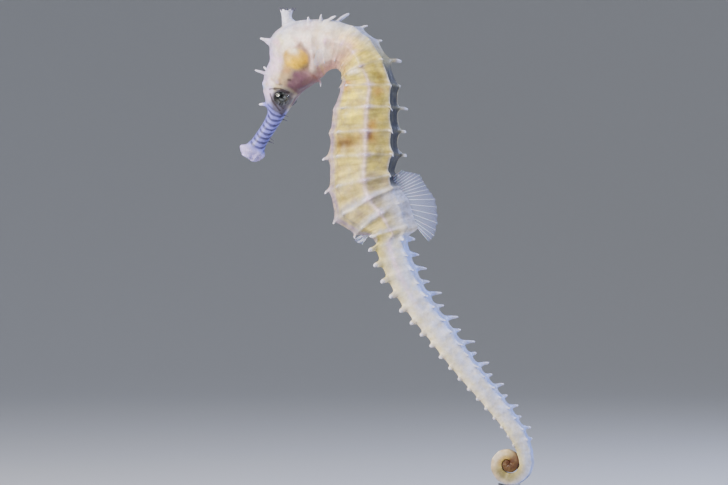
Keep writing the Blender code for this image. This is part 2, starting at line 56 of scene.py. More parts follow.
class Ridge(Enum):
    """The lines that run the length of the body, counted from the back to the belly."""

    BACK = 0
    SUPERIOR = 1
    LATERAL = 2
    INFERIOR = 3
    BELLY = 4


class Side(Enum):
    """The animal's left is towards -Y."""

    LEFT = -1
    RIGHT = 1


class Slot(Enum):
    """The record's material slots, passed with each piece but not read."""

    BODY = "body"
    EYE = "eye"
    FIN = "fin"


# ---------------------------------------------------------------- shared helpers


def hex_colour(code: str) -> tuple[float, float, float, float]:
    """Turns an sRGB hex colour into linear light.

    Args:
        code: Six hex digits after a hash sign.

    Returns:
        Linear red, green and blue with an alpha of one.
    """
    linear = []
    for start in (1, 3, 5):
        value = int(code[start:start + 2], 16) / 255
        linear.append(value / 12.92 if value <= 0.04045 else ((value + 0.055) / 1.055) ** 2.4)
    return (*linear, 1.0)


def add_node(tree: bpy.types.NodeTree, kind: str, settings: dict | None = None,
             inputs: dict | None = None) -> bpy.types.Node:
    """Adds a node with its settings, input values and links.

    Args:
        tree: The node tree to add to.
        kind: The node's type.
        settings: Properties of the node by name.
        inputs: Values, hex colours or output sockets by input name or index.

    Returns:
        The new node.
    """
    node = tree.nodes.new(kind)
    for name, value in (settings or {}).items():
        setattr(node, name, value)
    fill_inputs(tree, node, inputs or {})
    return node


def fill_inputs(tree: bpy.types.NodeTree, node: bpy.types.Node, inputs: dict) -> None:
    """Sets a node's inputs; sockets are linked, hex colours are turned into linear light.

    Args:
        tree: The node tree.
        node: The node.
        inputs: Values, hex colours or output sockets by input name or index.
    """
    for key, value in inputs.items():
        if isinstance(value, bpy.types.NodeSocket):
            tree.links.new(value, node.inputs[key])
        elif isinstance(value, str) and value.startswith("#"):
            node.inputs[key].default_value = hex_colour(value)
        else:
            node.inputs[key].default_value = value


def mm_scale(size: float) -> float:
    """The texture scale whose features are about this many millimetres across."""
    return 1 / (size * MM)


class Material:
    """A material round one Principled shader, with short ways to add the nodes finishes share."""

    def __init__(self, name: str) -> None:
        """Starts an empty material with the finish's name."""
        self.made = bpy.data.materials.new(name)
        self.made.use_nodes = True
        self.tree = self.made.node_tree

    def place(self) -> bpy.types.NodeSocket:
        """The piece's own coordinates, in metres."""
        return add_node(self.tree, "ShaderNodeTexCoord").outputs["Object"]

    def attribute(self, name: str, output: str = "Fac") -> bpy.types.NodeSocket:
        """A value that the mesh carries at its points."""
        return add_node(self.tree, "ShaderNodeAttribute", {"attribute_name": name}).outputs[output]

    def maths(self, operation: str, *values) -> bpy.types.NodeSocket:
        """One arithmetic step on numbers or sockets."""
        return add_node(self.tree, "ShaderNodeMath", {"operation": operation},
                        dict(enumerate(values))).outputs[0]

    def vector(self, operation: str, output: str, inputs: dict) -> bpy.types.NodeSocket:
        """One vector step."""
        return add_node(self.tree, "ShaderNodeVectorMath", {"operation": operation},
                        inputs).outputs[output]

    def join(self, **parts) -> bpy.types.NodeSocket:
        """A vector made of its X, Y and Z parts."""
        return add_node(self.tree, "ShaderNodeCombineXYZ", {}, parts).outputs[0]

    def noise(self, vector: bpy.types.NodeSocket, scale: float, detail: float = 2.0,
              **more) -> bpy.types.NodeSocket:
        """Soft noise from 0 to 1; it is four-dimensional where W is given."""
        settings = {"noise_dimensions": "4D"} if "W" in more else {}
        return add_node(self.tree, "ShaderNodeTexNoise", settings, {
            "Vector": vector, "Scale": scale, "Detail": detail, **more}).outputs["Fac"]

    def stretched(self, vector: bpy.types.NodeSocket,
                  scale: tuple[float, float, float]) -> bpy.types.NodeSocket:
        """Coordinates scaled along each axis, so a pattern is drawn out along the small ones."""
        return add_node(self.tree, "ShaderNodeMapping", {}, {
            "Vector": vector, "Scale": scale}).outputs[0]

    def remap(self, value: bpy.types.NodeSocket, low: float = 0.0, high: float = 1.0,
              to_low: float = 0.0, to_high: float = 1.0,
              smooth: bool = False) -> bpy.types.NodeSocket:
        """Carries a value from one range to another.

        Args:
            value: The value's socket.
            low: Start of its range.
            high: End of its range.
            to_low: Start of the new range.
            to_high: End of the new range.
            smooth: Whether the ends are eased.

        Returns:
            The result's socket.
        """
        settings = {"interpolation_type": "SMOOTHSTEP"} if smooth else {}
        return add_node(self.tree, "ShaderNodeMapRange", settings, {
            "Value": value, "From Min": low, "From Max": high, "To Min": to_low,
            "To Max": to_high}).outputs["Result"]

    def blend(self, factor: bpy.types.NodeSocket | float, first: bpy.types.NodeSocket | str,
              second: bpy.types.NodeSocket | str, kind: str = "MIX") -> bpy.types.NodeSocket:
        """Mixes or multiplies two colours.

        Args:
            factor: How much of the second shows.
            first: A socket or a hex colour.
            second: A socket or a hex colour.
            kind: The Mix node's blend type.

        Returns:
            The colour's socket.
        """
        return add_node(self.tree, "ShaderNodeMix", {"data_type": "RGBA", "blend_type": kind}, {
            "Factor": factor, "A": first, "B": second}).outputs["Result"]

    def bump(self, height: bpy.types.NodeSocket, strength: float, depth: float,
             normal: bpy.types.NodeSocket | None = None,
             invert: bool = False) -> bpy.types.NodeSocket:
        """Fine relief in the surface.

        Args:
            height: The relief's height, from 0 to 1.
            strength: How strongly it shows.
            depth: Its full height, in millimetres.
            normal: Coarser or finer relief that it lies on.
            invert: Whether it goes in instead of out.

        Returns:
            The normal's socket.
        """
        inputs = {"Strength": strength, "Distance": depth * MM, "Height": height}
        if normal is not None:
            inputs["Normal"] = normal
        return add_node(self.tree, "ShaderNodeBump", {"invert": invert}, inputs).outputs["Normal"]

    def finish(self, values: dict) -> bpy.types.Material:
        """Fills the shader's own inputs and returns the material."""
        fill_inputs(self.tree, self.tree.nodes["Principled BSDF"], values)
        return self.made


def mesh_object(name: str, bm: bmesh.types.BMesh, material: bpy.types.Material,
                smooth_angle: float | None = None) -> bpy.types.Object:
    """Makes an object of a mesh whose lengths are in millimetres.

    Args:
        name: The piece's name.
        bm: The mesh, which is freed.
        material: Its finish.
        smooth_angle: Edges sharper than this, in degrees, stay sharp; all are smooth if None.

    Returns:
        The object, at the origin.
    """
    bmesh.ops.scale(bm, vec=(MM, MM, MM), verts=bm.verts)
    mesh = bpy.data.meshes.new(name)
    bm.to_mesh(mesh)
    bm.free()
    mesh.shade_smooth()
    if smooth_angle is not None:
        mesh.set_sharp_from_angle(angle=math.radians(smooth_angle))
    mesh.materials.append(material)
    made = bpy.data.objects.new(name, mesh)
    bpy.context.scene.collection.objects.link(made)
    return made


def freeze(piece: bpy.types.Object) -> bpy.types.Object:
    """Applies a piece's modifiers to its mesh.

    Args:
        piece: The object whose modifiers are to become plain geometry.

    Returns:
        The same object, with no modifiers left.
    """
    evaluated = piece.evaluated_get(bpy.context.evaluated_depsgraph_get())
    mesh = bpy.data.meshes.new_from_object(evaluated)
    mesh.name = piece.name
    piece.modifiers.clear()
    piece.data = mesh
    return piece


def hand_over(piece: bpy.types.Object, slot: Slot, *nodes: str) -> None:
    """Rides a finished piece on the body and hides the CAD nodes that it stands for.

    Args:
        piece: The finished piece.
        slot: The record's material slot it would take its finish from; not used.
        nodes: CAD nodes that it replaces.
    """
    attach(piece, BODY)
    if nodes:
        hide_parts(*nodes)
    log.info("%s: %d faces", piece.name, len(piece.data.polygons))


def bell(distance: np.ndarray | float, width: float) -> np.ndarray | float:
    """A smooth hump of height one that has fallen to a third at this width."""
    return np.exp(-np.square(np.asarray(distance) / width))


def ramp(value: np.ndarray | float, low: float, high: float) -> np.ndarray | float:
    """A smooth rise from zero at low to one at high."""
    share = np.clip((np.asarray(value, float) - low) / (high - low), 0, 1)
    return share * share * (3 - 2 * share)


def patchy(x: np.ndarray, y: np.ndarray, layer: float) -> np.ndarray:
    """Soft noise from -1 to 1 for each pair of numbers; each layer differs."""
    return np.array([noise.noise(Vector((a, b, layer))) for a, b in zip(x, y)])


def unit(vector: np.ndarray) -> np.ndarray:
    """The vector at length one."""
    return vector / np.linalg.norm(vector)


def coordinates(verts: list[bmesh.types.BMVert]) -> np.ndarray:
    """The vertices' coordinates, a row for each."""
    return np.array([np.array(vert.co) for vert in verts])


def loft(bm: bmesh.types.BMesh, loops: list[list[bmesh.types.BMVert]]) -> None:
    """Joins each loop of vertices to the next one with a ring of faces."""
    for low, high in zip(loops, loops[1:]):
        for i in range(len(low)):
            j = (i + 1) % len(low)
            bm.faces.new((low[i], low[j], high[j], high[i]))


def cap(bm: bmesh.types.BMesh, loop: list[bmesh.types.BMVert], tip: bmesh.types.BMVert) -> None:
    """Closes a loop with a fan of faces round one vertex."""
    for i, vert in enumerate(loop):
        bm.faces.new((vert, loop[(i + 1) % len(loop)], tip))


def heading_vector(heading: float) -> np.ndarray:
    """The direction of a heading in degrees in the XZ plane."""
    angle = math.radians(heading)
    return np.array((math.cos(angle), 0.0, math.sin(angle)))


def smooth_curve(knots: np.ndarray, values: np.ndarray, place: float) -> np.ndarray:
    """Reads a smooth curve through values at rising knots.

    Args:
        knots: Where the values stand.
        values: One value or row for each knot.
        place: Where to read the curve.

    Returns:
        The value or row there.
    """
    knots, values = np.asarray(knots, float), np.asarray(values, float)
    slopes = np.empty_like(values)
    slopes[1:-1] = ((values[2:] - values[:-2]).T / (knots[2:] - knots[:-2])).T
    slopes[0] = (values[1] - values[0]) / (knots[1] - knots[0])
    slopes[-1] = (values[-1] - values[-2]) / (knots[-1] - knots[-2])
    i = int(np.clip(np.searchsorted(knots, place) - 1, 0, len(knots) - 2))
    h = knots[i + 1] - knots[i]
    u = (place - knots[i]) / h
    return ((2 * u**3 - 3 * u**2 + 1) * values[i] + (u**3 - 2 * u**2 + u) * h * slopes[i]
            + (3 * u**2 - 2 * u**3) * values[i + 1] + (u**3 - u**2) * h * slopes[i + 1])


# ---------------------------------------------------------------- the body's line and sections

# The eye's middle along and above the snout's axis, and its radius, in millimetres
EYE_ALONG, EYE_RISE, EYE_RADIUS = 14.6, 0.1, 1.85

@dataclass(frozen=True)
class Section:
    """One cross-section of the body: its place and tilt, and how far its ridges stand out."""

    t: float
    x: float
    z: float
    heading: float
    back: float
    belly: float
    superior: float
    lateral: float
    inferior: float
    lateral_level: float
    inferior_level: float
    keel: float
    pad: float
    roundness: float


@dataclass(frozen=True)
class BodyLine:
    """The line that the body is swept along, and the sections that stand on it.

    The place on the line is t: the mouth is near -14, trunk rings are 1 to 11 and tail ring j is
    12 + j. The place round a section is u, from 0 on the back to 4 on the belly.
    """

    mouth: tuple[float, float] = (-27.2, 90.9)
    snout_heading: float = 57.6
    crook: tuple[float, float] = (-10.2, 106.2)
    trunk_rings: int = 11
    tail_rings: int = 35
    tail_pitch: float = 3.63
    tail_taper: float = 39.0
    coil_centre: tuple[float, float] = (31.2, 23.5)
    coil_radii: tuple[float, ...] = (3.9, 3.38, 2.68, 1.92, 1.27, 0.95, 0.6, 0.4)
    tail_route: tuple[tuple[float, float], ...] = (
        (4.7, 71.2), (6.4, 66.3), (9.7, 59.7), (15.6, 51.9), (21.3, 44.5), (27.1, 37.7),
        (32.1, 31.3), (34.3, 27.2))
    depth_rings: tuple[float, ...] = (0.0, 10.0, 21.0, 26.0, 29.0, 32.0, 35.0)
    depths: tuple[float, ...] = (6.3, 4.5, 2.75, 2.42, 2.16, 2.0, 1.5)
    ring_swell: float = 0.05
    ring_swell_length: float = 0.17
    spine_splay: float = 50.0
    table: np.ndarray = field(init=False, repr=False, compare=False)

    def __post_init__(self) -> None:
        """Works out the table of sections once."""
        object.__setattr__(self, "table", np.array(self.head() + self.trunk() + self.tail()))

    @property
    def first_tail(self) -> int:
        """The station that tail rings are counted from."""
        return self.trunk_rings + 1

    @property
    def end(self) -> float:
        """The station of the tail's tip."""
        return float(self.table[-1, 0])

    def head_row(self, t: float, along: float, back: float, belly: float, lateral: float,
                 crown: float, jaw: float, level: float = 0.0) -> tuple[float, ...]:
        """A section of the snout or head, square to the snout's axis.

        Args:
            t: The station.
            along: Distance from the mouth along the snout's axis.
            back: Reach above the axis.
            belly: Reach below the axis.
            lateral: Half width.
            crown: Half width of the forehead.
            jaw: Half width of the jaw.
            level: Height of the widest place.

        Returns:
            One row of the table.
        """
        rise, half = (back - belly) / 2, (back + belly) / 2
        place = self.head_point(along, rise)
        return (t, place[0], place[2], self.snout_heading, half, half, crown, lateral, jaw,
                level, 0.8, 1.0, 0.0, 1.0)

    def neck_row(self, t: float, heading: float, inner: float, outer: float, lateral: float,
                 superior: float, inferior: float, roundness: float) -> tuple[float, ...]:
        """A section of the bent neck, on a spoke from the crook between throat and chest.

        Args:
            t: The station.
            heading: The body line's direction, in degrees.
            inner: Distance from the crook to the throat.
            outer: Distance from the crook to the nape.
            lateral: Half width.
            superior: Half width between the superior ridges.
            inferior: Half width between the inferior ridges.
            roundness: 0 for flat plates, 1 for an oval.

        Returns:
            One row of the table.
        """
        spoke = heading_vector(heading + 90)
        middle, half = (inner + outer) / 2, (outer - inner) / 2
        return (t, self.crook[0] + spoke[0] * middle, self.crook[1] + spoke[2] * middle, heading,
                half, half, superior, lateral, inferior, 0.15, 0.6, 1.0, 0.0, roundness)

    def head(self) -> list[tuple[float, ...]]:
        """Sections from the mouth to the fourth ring, round the neck's bend."""
        # The arguments of head_row and of neck_row, in order
        head = (
            (-14.2, -1.0, 1.6, 1.5, 1.4, 0.8, 0.8), (-13.9, -0.6, 2.6, 2.3, 2.1, 1.1, 1.1),
            (-13.4, 0.4, 2.7, 2.4, 2.2, 1.3, 1.3), (-12.8, 1.7, 2.1, 2.1, 1.8, 1.1, 1.1),
            (-12.0, 3.4, 1.65, 1.7, 1.5, 1.0, 1.0), (-9.1, 9.8, 1.75, 1.85, 1.65, 1.0, 1.0),
            (-8.1, 12.0, 3.7, 1.95, 2.5, 1.6, 1.3), (-7.0, 14.4, 5.9, 1.95, 3.5, 2.3, 1.5, -0.2),
            (-5.5, 17.8, 7.1, 2.4, 4.0, 2.3, 2.0, -0.15),
            (-4.5, 20.0, 7.6, 3.5, 4.4, 2.0, 2.4, -0.1),
            (-3.7, 21.8, 8.7, 4.4, 4.6, 2.0, 2.8, -0.05))
        neck = (
            (-3.0, 47.0, 1.9, 16.3, 4.65, 2.1, 2.9, 1.0),
            (-2.3, 36.0, 1.9, 15.9, 4.6, 2.2, 3.0, 1.0),
            (-0.9, 17.0, 1.9, 15.0, 4.4, 2.4, 3.0, 0.8),
            (0.2, 3.0, 2.2, 14.3, 4.4, 2.6, 2.8, 0.4), (1.0, -7.0, 2.8, 14.1, 4.5, 2.8, 2.8, 0.2),
            (2.0, -30.0, 4.0, 14.3, 4.7, 3.0, 2.8, 0.0),
            (3.0, -49.0, 4.4, 14.4, 4.9, 3.2, 2.8, 0.0),
            (4.0, -69.0, 4.1, 14.5, 5.2, 3.3, 2.9, 0.0))
        return [self.head_row(*row) for row in head] + [self.neck_row(*row) for row in neck]

    def trunk(self) -> list[tuple[float, ...]]:
        """Sections of the trunk rings, each from its keel to the middle of its back."""
        # Station, keel, back, half widths at the lateral, superior and inferior ridges, pad
        rows = (
            (5.0, (-6.5, 105.8), (5.1, 105.8), 5.4, 3.3, 3.0, 0.0),
            (6.0, (-8.1, 100.8), (5.2, 101.0), 5.6, 3.4, 3.2, 0.0),
            (7.0, (-9.0, 95.5), (5.35, 95.8), 5.9, 3.4, 3.4, 0.0),
            (8.0, (-9.2, 90.1), (5.35, 90.6), 6.0, 3.4, 3.6, 0.0),
            (9.0, (-8.9, 83.1), (5.1, 86.0), 6.0, 3.3, 3.8, 0.2),
            (10.0, (-7.6, 76.3), (6.8, 83.6), 5.7, 3.0, 3.4, 1.3),
            (11.0, (-3.0, 73.3), (8.7, 80.8), 4.9, 2.8, 2.8, 2.0),
            (12.0, (0.2, 72.6), (10.6, 75.2), 4.0, 2.7, 2.5, 2.2),
            (12.42, (1.0, 71.7), (10.9, 74.2), 3.6, 2.7, 2.5, 2.3))
        table = []
        for t, keel, back, lateral, superior, inferior, pad in rows:
            dx, dz = back[0] - keel[0], back[1] - keel[1]
            depth = math.hypot(dx, dz)
            middle = (depth - pad) / 2
            table.append((t, keel[0] + dx / depth * middle, keel[1] + dz / depth * middle,
                          math.degrees(math.atan2(dz, dx)) - 90, middle, middle, superior,
                          lateral, inferior, 0.33, 0.55, 1.0, pad, 0.0))
        return table

    def tail(self) -> list[tuple[float, ...]]:
        """Sections of the tail, four for each ring, down its route and round the coil."""
        points = [np.array(point) for point in self.tail_route]
        per_turn = 24
        turns = (len(self.coil_radii) - 1) / 4
        for i in range(round(turns * per_turn) + 1):
            quarters = 4 * i / per_turn
            reach = float(smooth_curve(range(len(self.coil_radii)), self.coil_radii, quarters))
            away = heading_vector(-90 * quarters)
            points.append(np.array((self.coil_centre[0] + away[0] * reach,
                                    self.coil_centre[1] + away[2] * reach)))
        route = np.array(points)
        lengths = np.concatenate(([0.0], np.cumsum(np.hypot(*np.diff(route, axis=0).T))))
        per_ring, substeps, place = 4, 8, 0.0
        table: list[tuple[float, ...]] = []
        for index in range((self.tail_rings - 1) * per_ring + 1):
            ring = 1.0 + index / per_ring
            x, z = smooth_curve(lengths, route, place)
            ahead = smooth_curve(lengths, route, place + 0.05) - (x, z)
            heading = math.degrees(math.atan2(ahead[1], ahead[0]))
            if table:
                heading -= 360 * round((heading - table[-1][3]) / 360)
            depth = float(smooth_curve(self.depth_rings, self.depths, ring))
            curled = float(np.interp(ring, (18.0, 24.0), (0.0, 0.4)))
            table.append((self.first_tail + ring, x, z, heading, depth / 2, depth / 2,
                          depth * 0.41, depth * 0.39, depth * 0.36, 0.0, 1.0, 0.94, 0.0, curled))
            for step in range(substeps):
                share = (ring + step / (per_ring * substeps) + 1) / self.tail_taper
                place += self.tail_pitch * (1 - share ** 1.5) / (per_ring * substeps)
        return table

    def section(self, t: float) -> Section:
        """The cross-section at any station."""
        return Section(t, *smooth_curve(self.table[:, 0], self.table[:, 1:], t))

    def head_point(self, along: float, rise: float, out: float = 0.0) -> np.ndarray:
        """A point from its place along and above the snout's axis and out to a side."""
        axis, up = heading_vector(self.snout_heading), heading_vector(self.snout_heading + 90)
        return np.array((self.mouth[0], out, self.mouth[1])) + axis * along + up * rise

    def head_place(self, points: np.ndarray) -> tuple[np.ndarray, np.ndarray]:
        """How far points lie along the snout's axis and above it.

        Args:
            points: Rows of x, y and z.

        Returns:
            The distances along and above the axis.
        """
        offset = points - np.array((self.mouth[0], 0.0, self.mouth[1]))
        return (offset @ heading_vector(self.snout_heading),
                offset @ heading_vector(self.snout_heading + 90))

    def swell(self, t: float) -> float:
        """How much wider the body is near a ring than between rings."""
        if t < 0.7:
            return 1.0
        strength = self.ring_swell * float(np.interp(t, (2.5, 5.0), (0.15, 1.0)))
        return 1 + strength * float(bell(t - round(t), self.ring_swell_length))

    def point(self, section: Section, u: float, side: int) -> np.ndarray:
        """A point of a cross-section.

        Args:
            section: The cross-section.
            u: The place round it, from 0 on the back to 4 on the belly.
            side: -1 on the animal's left, 1 on its right.

        Returns:
            The point, in millimetres.
        """
        s = section
        corners = ((s.back * 0.97 + s.pad, 0.0), (s.back, s.superior),
                   (s.back * s.lateral_level, s.lateral), (-s.belly * s.inferior_level, s.inferior),
                   (-s.belly * s.keel, 0.0))
        i = min(int(u), 3)
        share = u - i
        level = corners[i][0] * (1 - share) + corners[i + 1][0] * share
        width = corners[i][1] * (1 - share) + corners[i + 1][1] * share
        angle = math.radians(float(np.interp(u, (0, 1, 2, 3, 4), (0, 36, 90, 142, 180))))
        waist = s.back * s.lateral_level
        reach = s.back - waist if angle < math.pi / 2 else s.belly + waist
        level += s.roundness * (waist + reach * math.cos(angle) - level)
        width += s.roundness * (s.lateral * math.sin(angle) - width)
        swell = self.swell(s.t)
        up = heading_vector(s.heading + 90)
        middle = np.array((s.x, 0.0, s.z))
        return middle + up * level * swell + np.array((0, side * width * swell, 0))

    def outward(self, section: Section, u: float, side: int) -> np.ndarray:
        """The way that a spine on a ridge points, before it leans.

        Args:
            section: The cross-section.
            u: The ridge's place round it.
            side: -1 or 1.

        Returns:
            A unit vector in the section's plane.
        """
        up = heading_vector(section.heading + 90)
        if section.t < -1.5:
            away = self.point(section, u, side) - np.array((section.x, 0.0, section.z))
            return unit(away + 0.6 * (away @ up) * up)
        splay = math.radians((0.0, self.spine_splay, 90.0, 180.0 - self.spine_splay,
                              180.0)[int(u)])
        return up * math.cos(splay) + np.array((0.0, side * math.sin(splay), 0.0))


LINE = BodyLine()


# ---------------------------------------------------------------- finishes


@dataclass(frozen=True)
class Tone:
    """One colour that the skin turns to, how far blotches eat into it, and their size."""

    name: str
    colour: str
    breakup: float
    blotch: float


@dataclass(frozen=True)
class SeahorseSkin:
    """Painted skin over bony plates: satin, slightly translucent, finely wrinkled and mottled.

    Soft light sinks a little way in, so the spines look waxy and the plates never look hard.
    """

    cream: str = "#D2C88F"
    snout_pale: str = "#7E80E2"
    snout_band: str = "#3B3B68"
    band_pitch: float = 1.17
    mark_dark: str = "#2B1C1C"
    # The first three strokes draw the brow: dark pigment with painted shadow under the lid's fold
    # Start and end along and above the snout's axis, half width, strength
    strokes: tuple[tuple[tuple[float, float], tuple[float, float], float, float], ...] = (
        ((14.85, 3.3), (15.55, 2.3), 0.30, 0.7), ((15.55, 2.3), (16.15, 0.9), 0.42, 0.95),
        ((16.15, 0.9), (16.45, -0.8), 0.40, 0.9), ((14.0, 2.6), (13.0, 1.5), 0.30, 0.8),
        ((13.0, 1.5), (12.5, 0.5), 0.32, 0.85), ((12.5, 0.5), (11.9, -0.8), 0.28, 0.75),
        ((13.2, 0.2), (12.7, -1.2), 0.22, 0.5), ((18.9, 0.5), (19.0, 0.2), 0.42, 0.7),
        ((17.0, 1.6), (17.0, 1.3), 0.45, 0.6), ((11.4, -1.2), (11.4, -1.7), 0.35, 0.6))
    tones: tuple[Tone, ...] = (
        Tone("gold", "#A07C28", 0.6, 2.2),
        Tone("yellow", "#F4E046", 0.7, 2.0),
        Tone("olive", "#6E6632", 0.35, 1.8),
        Tone("amber", "#CB8422", 0.35, 1.8),
        Tone("fawn", "#A97A5C", 0.2, 2.0),
        Tone("saffron", "#F2BE00", 0.2, 1.6),
        Tone("umber", "#54300F", 0.08, 1.6),
        Tone("mauve", "#6C4858", 0.06, 2.4),
        Tone("blush", "#F098BE", 0.3, 2.4),
        Tone("tan", "#C4984E", 0.35, 2.0),
        Tone("ginger", "#4C2406", 0.1, 1.4),
        Tone("slate", "#0B0D1A", 0.06, 1.6),
        Tone("heather", "#A28CAE", 0.3, 1.6),
        Tone("pearl", "#FFF4F0", 0.45, 1.5),
        Tone("frost", "#A6BCFF", 0.35, 1.8),
        Tone("lilac", "#EBC4EE", 0.3, 1.2),
        Tone("ash", "#5E5A6E", 0.1, 1.0),
        Tone("horn", "#E8E8FF", 0.1, 0.8),
    )

    def make(self) -> bpy.types.Material:
        """Builds the material from the skin's painted weights and noise."""
        skin = Material("painted_seahorse_skin")
        place = skin.place()
        colour = self.snout(skin, place)
        for index, tone in enumerate(self.tones):
            blotch = skin.noise(place, mm_scale(tone.blotch), W=7.3 * index)
            kept = skin.remap(blotch, 0.4, 0.56, 1 - tone.breakup)
            weight = skin.maths("MULTIPLY", skin.attribute(tone.name), kept)
            colour = skin.blend(weight, colour, tone.colour)
        colour = self.marks(skin, colour)
        # Freckles half a millimetre apart, and cloudy shade over whole plates
        for size, low, high in ((0.5, 0.93, 1.05), (1.3, 0.88, 1.06), (2.6, 0.84, 1.1)):
            shade = skin.noise(place, mm_scale(size), 3.0, Roughness=0.65)
            colour = skin.blend(1.0, colour, skin.remap(shade, 0.32, 0.68, low, high), "MULTIPLY")
        folds = self.folds(skin)
        # Painted shade in the troughs of the fine folds and a painted highlight on their crests,
        # over their bump
        colour = skin.blend(1.0, colour, skin.remap(folds, 0.34, 0.64, 0.66, 1.08), "MULTIPLY")
        # Pores 0.35 mm apart: real ones are half that and wouldn't show
        pores = add_node(skin.tree, "ShaderNodeTexVoronoi", {"feature": "SMOOTH_F1"}, {
            "Vector": place, "Scale": mm_scale(0.35), "Smoothness": 0.6}).outputs["Distance"]
        wrinkles = skin.noise(place, mm_scale(0.9), 5.0, Roughness=0.65, Distortion=0.4)
        relief = skin.bump(folds, 0.45, 0.18, skin.bump(pores, 0.35, 0.05))
        return skin.finish({
            "Base Color": colour, "Normal": skin.bump(wrinkles, 0.5, 0.16, relief),
            "Roughness": skin.remap(wrinkles, 0.3, 0.7, 0.38, 0.56),
            "Subsurface Weight": 0.12, "Subsurface Scale": 0.7 * MM,
            "Subsurface Radius": (1.0, 0.7, 0.45), "IOR": 1.4, "Coat Weight": 0.15,
            "Coat Roughness": 0.28, "Sheen Weight": 0.07, "Sheen Roughness": 0.5,
            "Sheen Tint": "#D5DEFF"})

    def folds(self, skin: Material) -> bpy.types.NodeSocket:
        """Height of the fine folds that run round the body, four or so to each ring."""
        laid = skin.join(X=skin.maths("MULTIPLY", skin.attribute("station"), 4.6),
                         Y=skin.attribute("around"))
        lifted = skin.maths("SUBTRACT", skin.noise(laid, 1.0), 0.5)
        return skin.maths("ADD", skin.maths("MULTIPLY", lifted, skin.attribute("pleat")), 0.5)

    def snout(self, skin: Material, place: bpy.types.NodeSocket) -> bpy.types.NodeSocket:
        """Colour of cream skin that turns to banded blue-grey along the snout.

        Args:
            skin: The material.
            place: Its coordinates.

        Returns:
            The colour's socket.
        """
        # Each band sags towards the mouth on the flank, as a ring of skin folds do
        sag = skin.maths("SINE", skin.maths("MULTIPLY", skin.attribute("around"), math.pi / 4))
        phase = skin.maths("ADD", skin.attribute("along"), skin.maths("MULTIPLY", sag, 1.3))
        wobble = skin.noise(place, mm_scale(1.6))
        phase = skin.maths("ADD", phase, skin.maths("MULTIPLY", wobble, 0.7))
        wave = skin.maths("SINE", skin.maths("MULTIPLY", phase, 2 * math.pi / self.band_pitch))
        dark = skin.maths("MULTIPLY", skin.remap(wave, -0.45, 0.75, smooth=True),
                          skin.attribute("band"))
        banded = skin.blend(dark, self.snout_pale, self.snout_band)
        return skin.blend(skin.attribute("snout"), self.cream, banded)

    def marks(self, skin: Material, colour: bpy.types.NodeSocket) -> bpy.types.NodeSocket:
        """Colour with the dark brow, partly pigment and partly painted shadow under the lid's fold,
        the folds below the eye and small spots drawn as strokes.

        Args:
            skin: The material.
            colour: The skin's colour so far.

        Returns:
            The colour's socket.
        """
        place = skin.join(X=skin.attribute("along"), Y=skin.attribute("rise"))
        wobble = skin.maths("MULTIPLY", skin.maths("SUBTRACT", skin.noise(place, 1.2, 1.0), 0.5),
                            0.3)
        total: bpy.types.NodeSocket | float = 0.0
        for (x0, y0), (x1, y1), width, strength in self.strokes:
            span = Vector((x1 - x0, y1 - y0, 0.0))
            offset = skin.vector("SUBTRACT", "Vector", {0: place, 1: (x0, y0, 0.0)})
            share = skin.vector("DOT_PRODUCT", "Value", {0: offset, 1: span / span.length_squared})
            foot = skin.vector("SCALE", "Vector", {0: span, "Scale": skin.remap(share)})
            gap = skin.maths("ADD", skin.vector("DISTANCE", "Value", {0: offset, 1: foot}), wobble)
            mark = skin.remap(gap, width, width * 0.35, 0.0, strength, smooth=True)
            total = skin.maths("MAXIMUM", mark, total)
        return skin.blend(skin.maths("MULTIPLY", total, skin.attribute("cheek")), colour,
                          self.mark_dark)


@dataclass(frozen=True)
class FinWeb:
    """Fin membrane: a thin glassy film, bluish, with a faint darker rim that catches light."""

    colour: str = "#A9B6E6"
    rim: str = "#7480BE"
    clearness: float = 0.2

    def make(self) -> bpy.types.Material:
        """Builds the material."""
        web = Material("fin_web_film")
        grain = web.noise(web.place(), mm_scale(0.8), 3.0)
        reach = web.maths("ADD", web.attribute("reach"), web.maths("MULTIPLY", grain, 0.3))
        return web.finish({
            "Base Color": web.blend(web.remap(reach, 0.4, 1.2), self.colour, self.rim),
            "Normal": web.bump(grain, 0.3, 0.05), "Alpha": self.clearness, "Roughness": 0.22,
            "IOR": 1.4, "Coat Weight": 0.3, "Coat Roughness": 0.15})


@dataclass(frozen=True)
class FinRay:
    """Fin ray: thin jointed bone under skin, milky, so the rays read as pale lines in the web."""

    colour: str = "#E9EDFA"
    joint: str = "#AFB8DC"
    clearness: float = 1.0

    def make(self) -> bpy.types.Material:
        """Builds the material."""
        ray = Material("fin_ray_bone")
        return ray.finish({
            "Base Color": ray.blend(ray.noise(ray.place(), mm_scale(0.5)), self.colour, self.joint),
            "Roughness": 0.4, "IOR": 1.45, "Subsurface Weight": 0.3,
            "Subsurface Scale": 0.3 * MM, "Alpha": self.clearness})


@dataclass(frozen=True)
class Filament:
    """Skin filament: soft dark tissue, matt against the satin skin."""

    colour: str = "#2B2C3D"
    tip: str = "#5A5870"

    def make(self) -> bpy.types.Material:
        """Builds the material."""
        thread = Material("skin_filament")
        return thread.finish({
            "Base Color": thread.blend(thread.noise(thread.place(), mm_scale(0.4)), self.colour,
                                       self.tip),
            "Roughness": 0.6, "IOR": 1.4})


